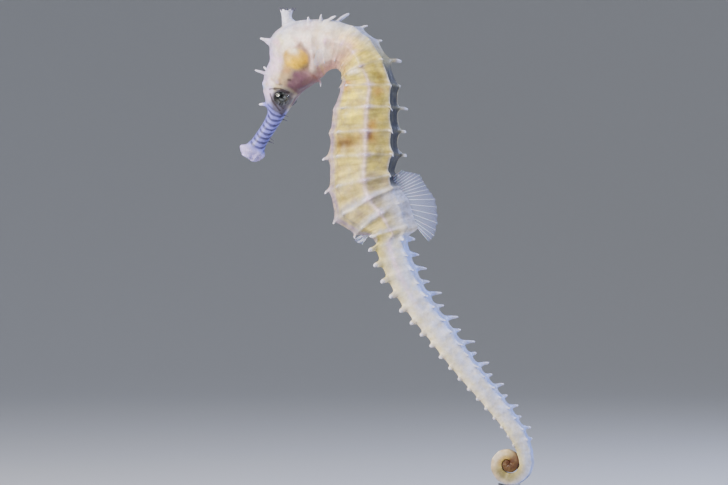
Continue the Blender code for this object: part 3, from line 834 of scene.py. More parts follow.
@dataclass(frozen=True)
class EyeGlobe:
    """Eyeball: a metallic-looking grey-green iris with dark rays round a small black pupil."""

    iris: str = "#4A4A46"
    pale: str = "#7C7E86"
    dark: str = "#17150F"
    pupil: str = "#060606"
    pupil_size: float = 0.30

    def make(self) -> bpy.types.Material:
        """Builds the material from the globe's own gaze coordinates."""
        eye = Material("eye_iris_enamel")
        gaze = eye.attribute("gaze", "Vector")
        part = add_node(eye.tree, "ShaderNodeSeparateXYZ", {}, {0: gaze}).outputs
        flat = eye.join(X=part["X"], Y=part["Y"])
        reach = eye.vector("LENGTH", "Value", {0: flat})
        spoke = eye.vector("NORMALIZE", "Vector", {0: flat})
        streaks = eye.noise(spoke, 5.0, 4.0, Roughness=0.7)
        sheen = eye.blend(eye.noise(gaze, 7.0, 3.0), self.iris, self.pale)
        ray = eye.remap(streaks, 0.46, 0.58, smooth=True)
        rayed = eye.blend(eye.maths("MULTIPLY", ray, eye.maths("MULTIPLY", reach, 1.2)), sheen,
                          self.dark)
        # The iris darkens towards the brow as painted shade under the lid, and a dark crescent lies
        # on the snout's side
        lift = eye.maths("ADD", part["Y"], eye.maths("MULTIPLY", streaks, 0.4))
        brow = eye.remap(lift, 0.2, 0.65, 0.0, 0.85, smooth=True)
        off_rim = eye.maths("ABSOLUTE", eye.maths("SUBTRACT", reach, 0.58))
        crescent = eye.maths("MULTIPLY", eye.remap(off_rim, 0.14, 0.05, smooth=True),
                             eye.remap(part["X"], 0.1, -0.25, smooth=True))
        shaded = eye.blend(eye.maths("MAXIMUM", brow, crescent), rayed, self.dark)
        edge = eye.remap(reach, self.pupil_size + 0.03, self.pupil_size - 0.02, smooth=True)
        return eye.finish({
            "Base Color": eye.blend(edge, shaded, self.pupil),
            "Normal": eye.bump(streaks, 0.4, 0.04), "Roughness": 0.35, "Metallic": 0.25,
            "IOR": 1.45})


@dataclass(frozen=True)
class Cornea:
    """Cornea: clear resin over the iris, which gives the eye its wet bright spot."""

    def make(self) -> bpy.types.Material:
        """Builds the material."""
        clear = Material("cornea_clear_resin")
        gloss = clear.remap(clear.noise(clear.place(), mm_scale(1.5), 1.0), to_low=0.01,
                            to_high=0.05)
        return clear.finish({"Roughness": gloss, "Base Color": "#F4F8F6",
                             "Transmission Weight": 1.0, "IOR": 1.38})


@dataclass(frozen=True)
class Walnut:
    """Black walnut, planed and oiled: dark bands of growth, short pores and a low satin gloss."""

    early: str = "#4A2F1E"
    late: str = "#22130B"
    pore: str = "#140B07"

    def make(self) -> bpy.types.Material:
        """Builds the material."""
        wood = Material("oiled_black_walnut")
        place = wood.place()
        # Growth bands 2.5 mm apart, drawn out ten times along the board
        bands = wood.noise(wood.stretched(place, (0.1, 1.0, 0.6)), mm_scale(5.0), 6.0,
                           Roughness=0.6, Distortion=1.2)
        colour = wood.blend(wood.remap(bands, 0.35, 0.65), self.early, self.late)
        pores = wood.noise(wood.stretched(place, (0.06, 1.0, 1.0)), mm_scale(0.5))
        pore = wood.remap(pores, 0.58, 0.68, smooth=True)
        return wood.finish({
            "Base Color": wood.blend(pore, colour, self.pore),
            "Normal": wood.bump(pore, 0.4, 0.1, invert=True), "Roughness": 0.36, "IOR": 1.5,
            "Coat Weight": 0.2, "Coat Roughness": 0.2})


@dataclass(frozen=True)
class BrushedSteel:
    """Stainless steel rod, brushed round its girth: soft streaks and broad highlights."""

    bright: str = "#B9BABD"
    dull: str = "#8E9094"

    def make(self) -> bpy.types.Material:
        """Builds the material."""
        steel = Material("brushed_stainless_steel")
        # Brush marks 0.12 mm apart, twenty times as long as they are wide
        marks = steel.noise(steel.stretched(steel.place(), (0.05, 0.05, 1.0)), mm_scale(0.12), 3.0)
        return steel.finish({
            "Base Color": steel.blend(marks, self.bright, self.dull),
            "Roughness": steel.remap(marks, to_low=0.22, to_high=0.42),
            "Normal": steel.bump(marks, 0.15, 0.02), "Metallic": 1.0})


@dataclass(frozen=True)
class BackdropPaper:
    """Matt studio paper: pale and even, with the least grain."""

    colour: str = "#C9CBD0"

    def make(self) -> bpy.types.Material:
        """Builds the material."""
        paper = Material("backdrop_paper")
        fibres = paper.remap(paper.noise(paper.place(), mm_scale(3.0)), to_low=0.98)
        return paper.finish({"Base Color": paper.blend(1.0, self.colour, fibres, "MULTIPLY"),
                             "Roughness": 0.9})


# ---------------------------------------------------------------- the skin


@dataclass(frozen=True)
class Spine:
    """One blunt spine: where it stands, how long it is, and how it leans, hooks and spreads."""

    t: float
    ridge: Ridge
    length: float
    lean: float
    hook: float = 0.0
    girth: float = 0.3
    foot: float = 0.8
    sides: tuple[int, ...] = (-1, 1)


@dataclass(frozen=True)
class Foot:
    """The mound that a spine rises from."""

    place: np.ndarray
    way: np.ndarray
    height: float
    reach: float


@dataclass(frozen=True)
class Bulge:
    """A smooth swelling or hollow of the head, placed along and above the snout's axis."""

    along: float
    rise: float
    reach_along: float
    reach_rise: float
    height: float

    def span(self, along: float, rise: float) -> float:
        """How far from the middle a place on the head is, 1 at the edge."""
        return math.hypot((along - self.along) / self.reach_along,
                          (rise - self.rise) / self.reach_rise)


@dataclass(frozen=True)
class Patch:
    """A blotch of one tone on the body: its middle, its reach and its strength."""

    tone: str
    t: float
    u: float
    reach_t: float
    reach_u: float
    strength: float = 1.0


class Coat:
    """The tones laid on the skin, as a weight for each of its points."""

    def __init__(self, t: np.ndarray, u: np.ndarray, along: np.ndarray, rise: np.ndarray,
                 out: np.ndarray) -> None:
        """Starts with no tone anywhere.

        Args:
            t: Each point's station.
            u: Each point's place round the body.
            along: Each point's distance along the snout's axis.
            rise: Each point's distance above it.
            out: Each point's distance from the middle plane.
        """
        self.t, self.u, self.along, self.rise, self.out = t, u, along, rise, out
        self.on_head = 1 - ramp(t, -0.6, 0.6)
        self.on_tail = ramp(t, 12.0, 13.2)
        self.flank = self.on_head * ramp(out, 0.8, 2.2)
        self.weights = {tone.name: np.zeros(len(t)) for tone in SeahorseSkin.tones}

    def lay(self, tone: str, weight: np.ndarray) -> None:
        """Lays a tone wherever it isn't stronger already."""
        self.weights[tone] = np.maximum(self.weights[tone], weight)

    def clear(self, weight: np.ndarray, *tones: str) -> None:
        """Takes tones off, or all of them where none is named."""
        for tone in tones or self.weights:
            self.weights[tone] = self.weights[tone] * (1 - weight)

    def mark(self, tone: str, weight: np.ndarray) -> None:
        """Lays a tone in place of the others."""
        self.clear(weight)
        self.lay(tone, weight)

    def spot(self, along: float, rise: float, size: float) -> np.ndarray:
        """A soft round spot on the head's flank."""
        return self.flank * bell(np.hypot(self.along - along, self.rise - rise), size)

    def body(self, patches: tuple[Patch, ...]) -> None:
        """Lays golden plates, thin pale ring lines, painted shade as a dark strip down the back and
        as a thin line under the lateral ridge, and painted bluish light along the top of the neck
        and lower trunk.

        Args:
            patches: The blotches of colour.
        """
        t, u = self.t, self.u
        body, tail = 1 - self.on_head, self.on_tail
        trunk = body * (1 - tail)
        wander = patchy(t * 1.3, u * 1.7, 5.0)
        line = bell(t - np.round(t) + 0.05 * wander, 0.06) * ramp(t, 3.0, 5.5)
        knots = np.maximum(np.maximum(bell(u - 1, 0.3), bell(u - 2, 0.4)), bell(u - 3, 0.3))
        line = line * (0.65 + 0.6 * wander) * (0.45 + 0.55 * knots)
        plates = body * (1 - 0.8 * line)
        for patch in patches:
            blotch = np.exp(-(np.abs((t - patch.t) / patch.reach_t) ** 2.5
                              + np.abs((u - patch.u) / patch.reach_u) ** 2.5))
            self.lay(patch.tone, blotch * patch.strength * (1 - 0.8 * line))
        self.lay("gold", plates * (0.55 - 0.2 * ramp(t, 9, 12) - 0.2 * tail))
        self.lay("yellow", plates * (0.5 - 0.15 * tail) * ramp(u, 0.9, 1.3))
        self.lay("olive", 0.4 * plates * bell(u - 1.5, 0.4) * ramp(t, 3.5, 5) * (1 - tail))
        self.lay("heather", 0.3 * plates * bell(t - 10.2, 1.6))
        low = ramp(t, 8.6, 10.0) * (1 - tail)
        self.lay("pearl", trunk * (0.5 + 0.4 * low) * line * ramp(u, 0.8, 1.2))
        self.lay("pearl", trunk * (0.15 + 0.25 * low) * bell(u - 2, 0.09))
        self.lay("lilac", 0.4 * trunk * bell(u - 2, 0.09) * ramp(t, 3.5, 5))
        self.lay("frost", 0.5 * low * bell(u - 2.2, 1.4) * bell(t - np.round(t) + 0.1, 0.16))
        self.lay("lilac", 0.75 * trunk * bell(t - np.round(t), 0.11) * bell(u - 2, 0.17))
        self.lay("heather", 0.85 * trunk * ramp(u, 3.2, 3.7) * ramp(t, 3.5, 5.0))
        # Painted shadow: a thin dark line just under the lateral ridge
        ridge_shadow = bell(u - 2.05, 0.05) * ramp(t, 4, 5) * (1 - ramp(t, 9, 10)) * (1 - line)
        self.lay("umber", 0.3 * ridge_shadow)
        # Painted shade: a near-black strip down the back, where the back lies in shadow
        back = (1 - ramp(u, 0.86, 0.99)) * ramp(t, 3.2, 4.6) * (1 - ramp(t, 9.3, 10.8))
        self.clear(back * (1 - 0.4 * line))
        self.lay("slate", back * (1 - 0.35 * line))
        crest = bell(u - 1, 0.045) * ramp(t, 3.5, 5) * (1 - tail)
        self.lay("pearl", 0.55 * crest)
        # Painted light: bluish white along the top of the lower trunk
        self.lay("frost", (1 - ramp(u, 1.0, 1.8)) * 0.55 * ramp(t, 9.4, 10.6)
                 * (1 - ramp(t, 11.6, 12.6)))
        self.lay("pearl", (1 - ramp(u, 1.2, 2.4)) * 0.5 * ramp(t, 9.4, 10.6)
                 * (1 - ramp(t, 12.6, 13.6)))
        self.lay("blush", 0.5 * body * (1 - ramp(t, 2.0, 4.0)) * ramp(u, 1.0, 2.0))
        self.lay("pearl", 0.75 * body * (1 - ramp(t, 0.8, 2.9)) * ramp(3.6 - u, 0.0, 1.0))
        # Painted light: bluish white on the top of the neck
        self.lay("frost", (1 - ramp(u, 0.8, 1.7)) * 0.7 * (1 - ramp(t, 2.5, 4.0)) * body)
        self.lay("tan", 0.7 * body * bell(t - 1.5, 0.5) * bell(u - 2.6, 0.45))

    def tail(self) -> None:
        """Lays cream rings with painted bluish light on their tops and lower edges, and a tan coil,
        with painted light on its outer turn and painted shade below, round a brown core that is
        partly painted shade.
        """
        t, u = self.t, self.u
        tail = self.on_tail
        before_coil = tail * (1 - ramp(t, 33, 38))
        self.lay("pearl", 0.55 * ramp(t, 13, 17) * (1 - ramp(t, 28, 34)))
        # Painted light: bluish white along the tail's top and its lower edge
        self.lay("frost", 0.65 * (1 - ramp(u, 1.6, 3.0)) * before_coil)
        self.lay("frost", 0.95 * (1 - ramp(u, 1.0, 1.9)) * before_coil)
        self.lay("lilac", 0.5 * bell(u - 2.0, 0.2) * tail * (1 - ramp(t, 14, 19)))
        self.lay("frost", 0.4 * ramp(u, 3.0, 3.5) * before_coil)
        self.lay("tan", 0.65 * ramp(t, 30.5, 36))
        # Painted light on the coil's outer turn, and painted shade on its lower side
        self.lay("pearl", 0.6 * bell(t - 38.5, 1.8) * (1 - ramp(u, 1.6, 2.8)))
        self.mark("olive", 0.85 * ramp(t, 32, 34.5) * ramp(u, 1.0, 2.2) * (1 - ramp(t, 36, 38)))
        # The coil's inner side and core are brown: partly the tail tip's own colour, partly painted
        # shade where the inner turns lie in shadow
        self.lay("ginger", np.maximum(0.6 * ramp(t, 36, 39) * ramp(u, 2.6, 3.6),
                                      ramp(t, 39.8, 41.5)))

    def head(self, skin: "Skin") -> None:
        """Lays a pale crown and front, a mauve cheek and throat, and the shoulder's pink ridge.

        Args:
            skin: The skin, for its shoulder ridge.
        """
        u, along, rise = self.u, self.along, self.rise
        head = self.on_head
        low = np.interp(along, (14, 18, 21, 24, 27, 30), (2.6, 3.2, 3.3, 1.8, -2.0, -3.6))
        white = head * ramp(rise - low, -1.0, 1.2) * ramp(along, 14, 16)
        self.lay("fawn", head * 0.85 * (1 - ramp(rise - low, -1.2, 1.0)) * ramp(along, 15, 17))
        self.lay("pearl", (0.62 + 0.25 * ramp(along, 24, 27)) * white)
        self.lay("lilac", 0.6 * white * (1 - ramp(along, 21, 26)))
        mottle = patchy(along * 0.55, rise * 0.55, 2.0)
        upper = white * ramp(along, 18, 20)
        self.lay("yellow", 0.8 * upper * ramp(mottle, 0.0, 0.22))
        self.lay("olive", 0.5 * upper * bell(mottle - 0.22, 0.08))
        self.lay("blush", 0.8 * upper * ramp(-mottle, 0.04, 0.25))
        self.lay("blush", 0.6 * white * ramp(along, 19, 24) * ramp(6.5 - rise, 0.0, 4.0))
        self.lay("olive", head * 0.3 * bell(along - 21.5, 2.0) * bell(rise - 6.3, 1.6))
        self.lay("yellow", head * 0.5 * bell(along - 25.0, 2.4) * bell(rise - 7.0, 2.5))
        self.lay("tan", 0.8 * head * bell(along - 21.6, 1.6) * bell(rise - 2.4, 1.8))
        # Painted light: bluish white along the top of the head
        self.lay("frost", head * (0.95 - 0.4 * ramp(along, 21, 25)) * (1 - ramp(u, 0.7, 1.7))
                 * ramp(along, 12, 14))
        edge = np.interp(along, (12, 14, 17, 21, 24, 27, 29), (-1.5, 2.0, 2.0, 0.9, -1.3, -4.2, -7))
        cheek = head * ramp(edge - rise + 1.2 * mottle, -0.8, 1.6) * ramp(along, 12.5, 14.5)
        self.clear(cheek, "pearl", "blush", "fawn", "tan", "lilac")
        self.lay("mauve", cheek * (1 - 0.75 * ramp(along, 20.5, 27)))
        self.lay("blush", 0.5 * cheek * ramp(along, 20, 26))
        ridge = head * skin.shoulder(along, rise, 0.8) * ramp(self.out, 1.0, 2.5)
        self.clear(0.8 * ridge, "mauve", "fawn", "olive")
        self.lay("blush", 0.6 * ridge)
        self.lay("pearl", 0.55 * ridge)
        behind = self.flank * ramp(along, 26.5, 28.5) * ramp(rise, -4.5, -1.0)
        self.clear(0.7 * behind, "mauve")
        self.lay("blush", 0.4 * behind)
        self.lay("pearl", 0.6 * behind)
        mouth = head * (1 - ramp(along, 0.8, 2.2))
        self.lay("lilac", 0.45 * mouth)
        self.lay("frost", 0.55 * mouth)

    def gill_cover(self, cover: Bulge) -> None:
        """Lays the golden gill cover, with a painted cream highlight at its top and orange brown
        along its back rim.

        Args:
            cover: Its swelling.
        """
        # The colour reaches a little past the swelling's edge
        gap_along = (self.along - cover.along) / 3.0
        gap_rise = (self.rise - cover.rise) / 2.95
        wander = patchy(self.along * 0.45, self.rise * 0.45, 9.0)
        span = np.hypot(gap_along, gap_rise) * (1 + 0.45 * wander)
        inside = self.flank * (1 - ramp(span, 0.72, 1.08))
        # Painted highlight: cream at the top of the gill cover's dome
        light = bell(np.hypot(self.along - 25.5, self.rise - 2.8), 1.15)
        glow = bell(np.hypot(self.along - 22.6, self.rise - 1.2), 1.2)
        self.clear(inside * 0.95)
        self.lay("gold", inside * (1 - light))
        self.lay("saffron", inside * (1.0 - 0.9 * light) * bell(self.rise - 0.9, 2.8))
        self.lay("yellow", inside * glow * 0.75)
        self.lay("amber", 0.7 * inside * ramp(gap_along - gap_rise, 0.2, 1.3))
        self.lay("pearl", inside * light * 0.85)
        rim = self.flank * bell(span - 1.02, 0.17)
        back = ramp(gap_along - gap_rise, -0.2, 0.8)
        self.lay("amber", rim * back)
        self.mark("umber", self.flank * bell(span - 0.98, 0.16) * back * 0.7)

    def eye_folds(self) -> None:
        """Lays grey folds round the eye and small amber and pale spots near it; the pale spot below
        and behind the eye is a painted highlight on its bump.
        """
        near = self.on_head * ramp(self.out, 0.3, 1.2)
        grey = near * (1 - ramp(np.hypot((self.along - 14.1) / 1.1, self.rise + 0.7), 2.3, 3.3))
        self.mark("ash", 0.97 * grey)
        front = near * (1 - ramp(np.hypot((self.along - 13.6) / 1.3, self.rise - 3.2), 1.0, 2.0))
        self.clear(0.8 * front, "fawn", "mauve")
        self.lay("lilac", 0.6 * front)
        self.lay("frost", 0.7 * front)
        for along, rise, size in ((16.9, 3.9, 0.45), (15.4, 4.6, 0.4), (17.9, 4.0, 0.35)):
            self.mark("amber", 0.65 * self.spot(along, rise, size))
        # The last pale spot is a painted highlight on the bump below and behind the eye
        for along, rise, size in ((15.5, 3.7, 0.35), (17.1, 2.6, 0.4), (16.3, -2.3, 0.5)):
            pale = self.spot(along, rise, size)
            self.clear(pale, "ash", "mauve", "fawn")
            self.lay("lilac", 0.9 * pale)


@dataclass
class Skin:
    """The whole outer body from mouth to tail tip, as one closed mesh."""

    coronet_station: float = -1.98
    coronet_heading: float = 32.0
    coronet_foot: float = 16.25
    spiny_tail_rings: int = 18
    seed: int = 7
    columns: tuple[float, ...] = (
        0.0, 0.15, 0.4, 0.63, 0.76, 0.88, 1.0, 1.12, 1.24, 1.4, 1.6, 1.8, 1.91, 2.0, 2.09, 2.2,
        2.4, 2.6, 2.76, 2.87, 3.0, 3.13, 3.24, 3.4, 3.65, 3.85, 4.0)
    # (length, lean) of the superior spines of each trunk ring; the left ones lie down more
    right_spines: tuple[tuple[float, float], ...] = (
        (4.4, 0.5), (2.2, 0.35), (1.4, 0.28), (3.3, 0.28), (0.9, -0.1), (2.7, 0.12),
        (1.9, 0.04), (2.1, 0.1), (0.8, 0.1), (0.7, 0.1), (0.7, 0.1))
    left_spines: tuple[tuple[float, float], ...] = (
        (2.6, 0.95), (0.5, 0.5), (0.5, 0.5), (0.8, 0.6), (0.9, 0.8), (1.7, 0.8),
        (1.3, 0.7), (1.3, 0.6), (0.9, 0.9), (0.6, 0.3), (0.6, 0.3))
    keel_spines: tuple[tuple[float, float], ...] = (
        (0.5, 0.8), (0.8, 0.8), (0.5, 0.7), (0.4, 0.7), (1.5, 0.4), (1.5, 0.55), (0.9, 0.65),
        (1.0, 0.9))
    # Station, ridge, length, lean, hook, girth, foot, sides
    head_spines: tuple[Spine, ...] = (
        Spine(-8.5, Ridge.BACK, 2.0, -0.5, 0.0, 0.3, 0.7),
        Spine(-5.8, Ridge.SUPERIOR, 2.9, -0.2, 0.0, 0.3, 0.8, (-1,)),
        Spine(-5.8, Ridge.SUPERIOR, 3.7, 0.12, 0.0, 0.3, 0.8, (1,)),
        Spine(-3.35, Ridge.BACK, 2.9, -0.25, 0.0, 0.32, 0.9),
        Spine(-3.5, Ridge.BELLY, 1.5, -0.9, 0.0, 0.22, 0.5),
        Spine(-0.55, Ridge.SUPERIOR, 1.5, 0.25, 0.0, 0.22, 0.5, (-1,)),
        Spine(-0.55, Ridge.SUPERIOR, 0.6, 0.25, 0.0, 0.22, 0.5, (1,)),
        Spine(0.35, Ridge.SUPERIOR, 2.1, 0.3, 0.0, 0.18, 0.4, (-1,)),
        Spine(0.35, Ridge.SUPERIOR, 0.7, 0.3, 0.0, 0.18, 0.4, (1,)),
    )
    # Along and above the snout's axis, reach along and above, height
    cover: Bulge = Bulge(23.9, 1.6, 2.9, 2.9, 0.85)
    bulges: tuple[Bulge, ...] = (
        Bulge(17.4, 2.9, 0.9, 0.7, 0.35),
        Bulge(15.8, 3.9, 0.8, 0.7, 0.35),
        Bulge(16.3, -2.0, 0.8, 0.6, 0.30),
        Bulge(19.3, -1.8, 2.2, 1.6, 0.20),
        Bulge(21.2, 6.4, 1.3, 1.2, 0.20),
        Bulge(18.6, 5.6, 1.0, 0.9, 0.25),
        Bulge(13.4, 4.6, 0.8, 0.6, 0.30),
        Bulge(14.9, 5.6, 0.7, 0.5, 0.30),
        Bulge(24.6, -3.0, 0.6, 0.5, 0.35),
        Bulge(-0.3, 2.4, 1.0, 0.9, 0.45),
        Bulge(1.2, -1.9, 0.9, 0.9, 0.40),
        Bulge(-0.8, 0.6, 0.8, 0.8, 0.40),
        Bulge(0.8, 1.2, 0.9, 0.8, 0.30),
        Bulge(0.2, -0.8, 0.8, 0.7, 0.30),
        Bulge(-0.8, -2.2, 1.1, 1.0, -0.5),
    )
    # The blotches are partly the plates' own mottling and partly painted light and shade on them
    # Tone, station, place round, reach along the body and round it, strength
    patches: tuple[Patch, ...] = (
        Patch("yellow", 1.9, 1.6, 1.1, 0.8, 0.95), Patch("yellow", 3.1, 1.9, 0.9, 1.0, 0.9),
        Patch("gold", 2.3, 2.6, 1.0, 0.6, 0.6), Patch("amber", 2.0, 3.0, 0.9, 0.5, 0.35),
        Patch("amber", 3.6, 3.3, 0.7, 0.5, 0.45), Patch("pearl", 0.9, 1.9, 0.5, 0.5, 0.5),
        Patch("pearl", 4.05, 2.55, 0.22, 0.35, 0.8), Patch("amber", 4.95, 3.3, 0.33, 0.5, 0.9),
        Patch("yellow", 4.6, 2.7, 0.3, 0.6, 0.6), Patch("gold", 4.75, 1.5, 0.45, 0.5, 0.9),
        Patch("olive", 4.95, 1.35, 0.3, 0.3, 0.6), Patch("amber", 5.3, 1.6, 0.25, 0.3, 0.5),
        Patch("yellow", 5.5, 2.8, 0.33, 0.7, 0.95), Patch("gold", 5.55, 1.5, 0.36, 0.45, 0.9),
        Patch("olive", 5.75, 1.35, 0.22, 0.3, 0.75), Patch("yellow", 6.4, 2.7, 0.34, 0.8, 1.0),
        Patch("olive", 6.72, 2.7, 0.16, 0.6, 0.6), Patch("gold", 6.6, 1.5, 0.4, 0.45, 0.9),
        Patch("olive", 6.8, 1.35, 0.3, 0.35, 0.7), Patch("amber", 6.9, 1.75, 0.3, 0.2, 0.7),
        Patch("umber", 7.2, 1.88, 0.28, 0.18, 0.85), Patch("umber", 7.5, 2.9, 0.3, 0.6, 0.8),
        Patch("amber", 7.4, 2.8, 0.42, 0.8, 0.35), Patch("amber", 7.2, 1.75, 0.36, 0.3, 0.5),
        Patch("olive", 7.3, 2.4, 0.3, 0.5, 0.55), Patch("yellow", 7.4, 1.5, 0.35, 0.4, 0.45),
        Patch("yellow", 8.2, 2.6, 0.16, 0.6, 0.6), Patch("yellow", 8.55, 1.7, 0.3, 0.35, 0.8),
        Patch("gold", 8.5, 1.35, 0.4, 0.35, 0.4), Patch("umber", 8.4, 2.75, 0.14, 0.5, 0.3),
        Patch("gold", 9.4, 2.8, 0.33, 0.5, 0.85), Patch("yellow", 9.2, 2.5, 0.25, 0.5, 0.5),
        Patch("yellow", 9.5, 1.6, 0.4, 0.4, 0.55), Patch("gold", 10.4, 2.7, 0.35, 0.4, 0.6),
        Patch("yellow", 10.5, 1.6, 0.4, 0.4, 0.5), Patch("gold", 11.4, 2.0, 0.3, 0.5, 0.45),
        Patch("olive", 11.5, 1.4, 0.3, 0.3, 0.4), Patch("gold", 13.4, 2.3, 0.5, 0.6, 0.6),
        Patch("gold", 14.4, 2.5, 0.4, 0.5, 0.4),
    )

    def spines(self) -> list[Spine]:
        """Every spine, with small seeded differences from ring to ring."""
        draw = np.random.default_rng(self.seed)
        found = list(self.head_spines)
        for ring in range(1, LINE.trunk_rings + 1):
            for side, table in ((1, self.right_spines), (-1, self.left_spines)):
                length, lean = table[ring - 1]
                stout = 0.5 if ring in (1, 4) else 0.33
                found.append(Spine(ring, Ridge.SUPERIOR, length, lean, 0.1,
                                   stout if length > 1.5 else 0.3, 0.6 + 0.15 * length, (side,)))
            knob = 0.55 + 0.2 * draw.random()
            if ring > 3:
                found.append(Spine(ring, Ridge.LATERAL, knob, 0.3, 0.1, 0.32, 0.6))
            found.append(Spine(ring, Ridge.INFERIOR, 0.35 if ring < 6 else 0.55, 0.3, 0.1, 0.3,
                               0.6))
            if ring >= 4:
                length, lean = self.keel_spines[ring - 4]
                found.append(Spine(ring, Ridge.BELLY, length, lean, 0.1, 0.34,
                                   0.7 + 0.2 * length))
        found.append(Spine(LINE.first_tail, Ridge.INFERIOR, 1.6, 0.1, 0.2, 0.35, 0.8))
        for ring in range(1, self.spiny_tail_rings + 1):
            t = LINE.first_tail + ring
            if ring % 2 and ring > 1:
                dorsal = float(np.interp(ring, (3, 5, 9, 13, 17, 19),
                                         (2.7, 3.3, 3.2, 2.3, 1.8, 0.7)))
            else:
                dorsal = float(np.interp(ring, (1, 6, 12, 18, 20), (2.1, 1.7, 1.3, 0.7, 0.7)))
            ventral = float(np.interp(ring, (1, 3, 6, 10, 18), (1.95, 1.95, 1.2, 0.6, 0.2)))
            girth = float(np.interp(ring, (1, 18), (0.4, 0.32)))
            sway = 0.3 + 0.12 * draw.random()
            found += [
                Spine(t, Ridge.SUPERIOR, dorsal, sway, -0.12, girth, 0.42 + 0.1 * dorsal, (1,)),
                Spine(t, Ridge.SUPERIOR, dorsal * 0.45, 0.8, 0.0, girth, 0.55, (-1,)),
                Spine(t, Ridge.INFERIOR, ventral, 0.15, 0.3, girth * 1.1,
                      0.5 + 0.12 * ventral)]
        return found

    def feet(self) -> list[Foot]:
        """The mounds under all the spines."""
        found = []
        for spine in self.spines():
            section = LINE.section(spine.t)
            u = float(spine.ridge.value)
            if spine.t > LINE.first_tail:
                height = min(0.32 * spine.length, 0.8)
            else:
                height = min(0.28 * spine.length + 0.05, 0.7)
            found += [Foot(LINE.point(section, u, side), LINE.outward(section, u, side), height,
                           spine.foot) for side in self.sides(spine)]
        return found

    def sides(self, spine: Spine) -> tuple[int, ...]:
        """The sides that a spine stands on; one on the midline stands once."""
        return (1,) if spine.ridge in (Ridge.BACK, Ridge.BELLY) else spine.sides

    def rows(self) -> list[float]:
        """Stations of the cage: close beside each ring and spine, and no gap too long."""
        needed = {float(LINE.table[0, 0]), -13.9, -13.4, -12.8, LINE.end}
        for ring in range(1, int(LINE.end)):
            if ring < LINE.first_tail:
                beside = (0.065, 0.13, 0.26)
            elif ring <= LINE.first_tail + self.spiny_tail_rings:
                beside = (0.17, 0.3)
            else:
                beside = (0.2,)
            needed |= {float(ring)} | {ring + k * gap for gap in beside for k in (-1, 1)}
        for spine in self.head_spines:
            needed |= {spine.t - 0.14, spine.t, spine.t + 0.14}
        needed |= {self.coronet_station + 0.13 * k for k in range(-3, 4)}
        ordered = sorted(t for t in needed if t <= LINE.end)
        kept = [ordered[0]]
        spine_rows = {round(s.t, 3) for s in self.spines()}
        for t in ordered[1:]:
            if t - kept[-1] < 0.06:
                if round(t, 3) in spine_rows:
                    kept[-1] = t
                continue
            kept.append(t)
        filled = [kept[0]]
        for t in kept[1:]:
            gap = t - filled[-1]
            # The longest step on the tail, round the eye and elsewhere
            step = 0.32 if t > LINE.first_tail else 0.17 if -9.2 < t < -4.6 else 0.26
            count = max(math.ceil(gap / step - 0.05), 1)
            start = filled[-1]
            filled += [start + gap * (k + 1) / count for k in range(count)]
        return filled

    def relief(self, t: float, u: float, plain: np.ndarray) -> float:
        """How far plates, rings and ridges stand off the plain section, in millimetres.

        Args:
            t: The station.
            u: The place round the section.
            plain: The plain section's point.

        Returns:
            The height of the relief.
        """
        if t < 0.2:
            return 0.0
        tail = float(ramp(t, 12.0, 13.0))
        lumps = (noise.noise(Vector(plain) * 0.5) * 0.26
                 + noise.noise(Vector(plain) * 1.3) * 0.12)
        # Soft folds that run round the body, two or three to each ring
        folds = noise.noise(Vector((t * 2.6, u * 0.9 + 7.0, 3.0))) * 0.62 * (1 - 0.85 * tail)
        size = float(np.interp(t, (0.2, 1.0, 4, 5, 12, 16, 24, 34),
                               (0, 0.35, 0.5, 1, 1, 0.8, 0.5, 0.25)))
        ring = float(bell(t - round(t), 0.085 + 0.05 * float(ramp(t, 8, 9.5)) + 0.04 * tail))
        ridge = max(float(bell(u - k, 0.09)) for k in (1, 2, 3, 4))
        # The upper plates are pads between the rings; those of the hips are dished
        pad = math.sin(math.pi * (t % 1)) ** 2 * math.sin(math.pi * (u % 1)) ** 2
        pad *= float(np.interp(t, (3, 5, 8, 9.5, 12), (0.1, 0.2, 0.1, -0.12, -0.1))) * (1 - tail)
        low = 0.4 if u > 3.2 or u < 0.8 else 1.0
        hips = 0.1 * float(ramp(t, 8.5, 10.0)) * (1 - tail)
        return size * ((0.09 + hips) * low * ring + 0.12 * low * ridge * (1 - 0.6 * tail)
                       + 0.2 * low * ring * ridge * (1 - tail)
                       + pad + (lumps + folds) * (1 - 0.6 * tail) * low)

    def head_relief(self, point: np.ndarray, t: float, u: float) -> float:
        """How far the gill cover, brow and eyelid stand off the plain head.

        Args:
            point: The plain point.
            t: The station.
            u: The place round the section.

        Returns:
            The height of the relief.
        """
        if t > 0.9:
            return 0.0
        along, rise = (float(v[0]) for v in LINE.head_place(point[None]))
        flank = float(ramp(abs(point[1]), 0.8, 2.0))
        height = 0.0
        for bulge in (self.cover, *self.bulges):
            dome = max(1 - bulge.span(along, rise) ** 2, 0.0) ** 0.7
            height += (flank if along > 3 else 1.0) * bulge.height * dome
        # A groove round the gill cover, and the ridge behind it
        groove = float(bell(self.cover.span(along, rise) - 1.15, 0.12))
        height -= flank * 0.28 * groove * float(ramp(-rise, -4.5, 0.5))
        height += flank * 0.42 * self.shoulder(along, rise, 0.6)
        # A lid that is thickest towards the brow, round a sunk socket
        reach = math.hypot(along - EYE_ALONG, rise - EYE_RISE)
        brow = math.atan2(rise - EYE_RISE, along - EYE_ALONG) - math.radians(25)
        lid = 0.4 + 0.5 * math.cos(brow)
        lift = 0.25 * max(math.cos(brow), 0.0)
        height += flank * lid * float(bell(reach - EYE_RADIUS - 0.1 + lift, 0.5))
        height -= flank * 0.5 * float(bell(reach, 1.1))
        mound = float(bell(t - self.coronet_station, 0.75)) * float(bell(u, 0.6))
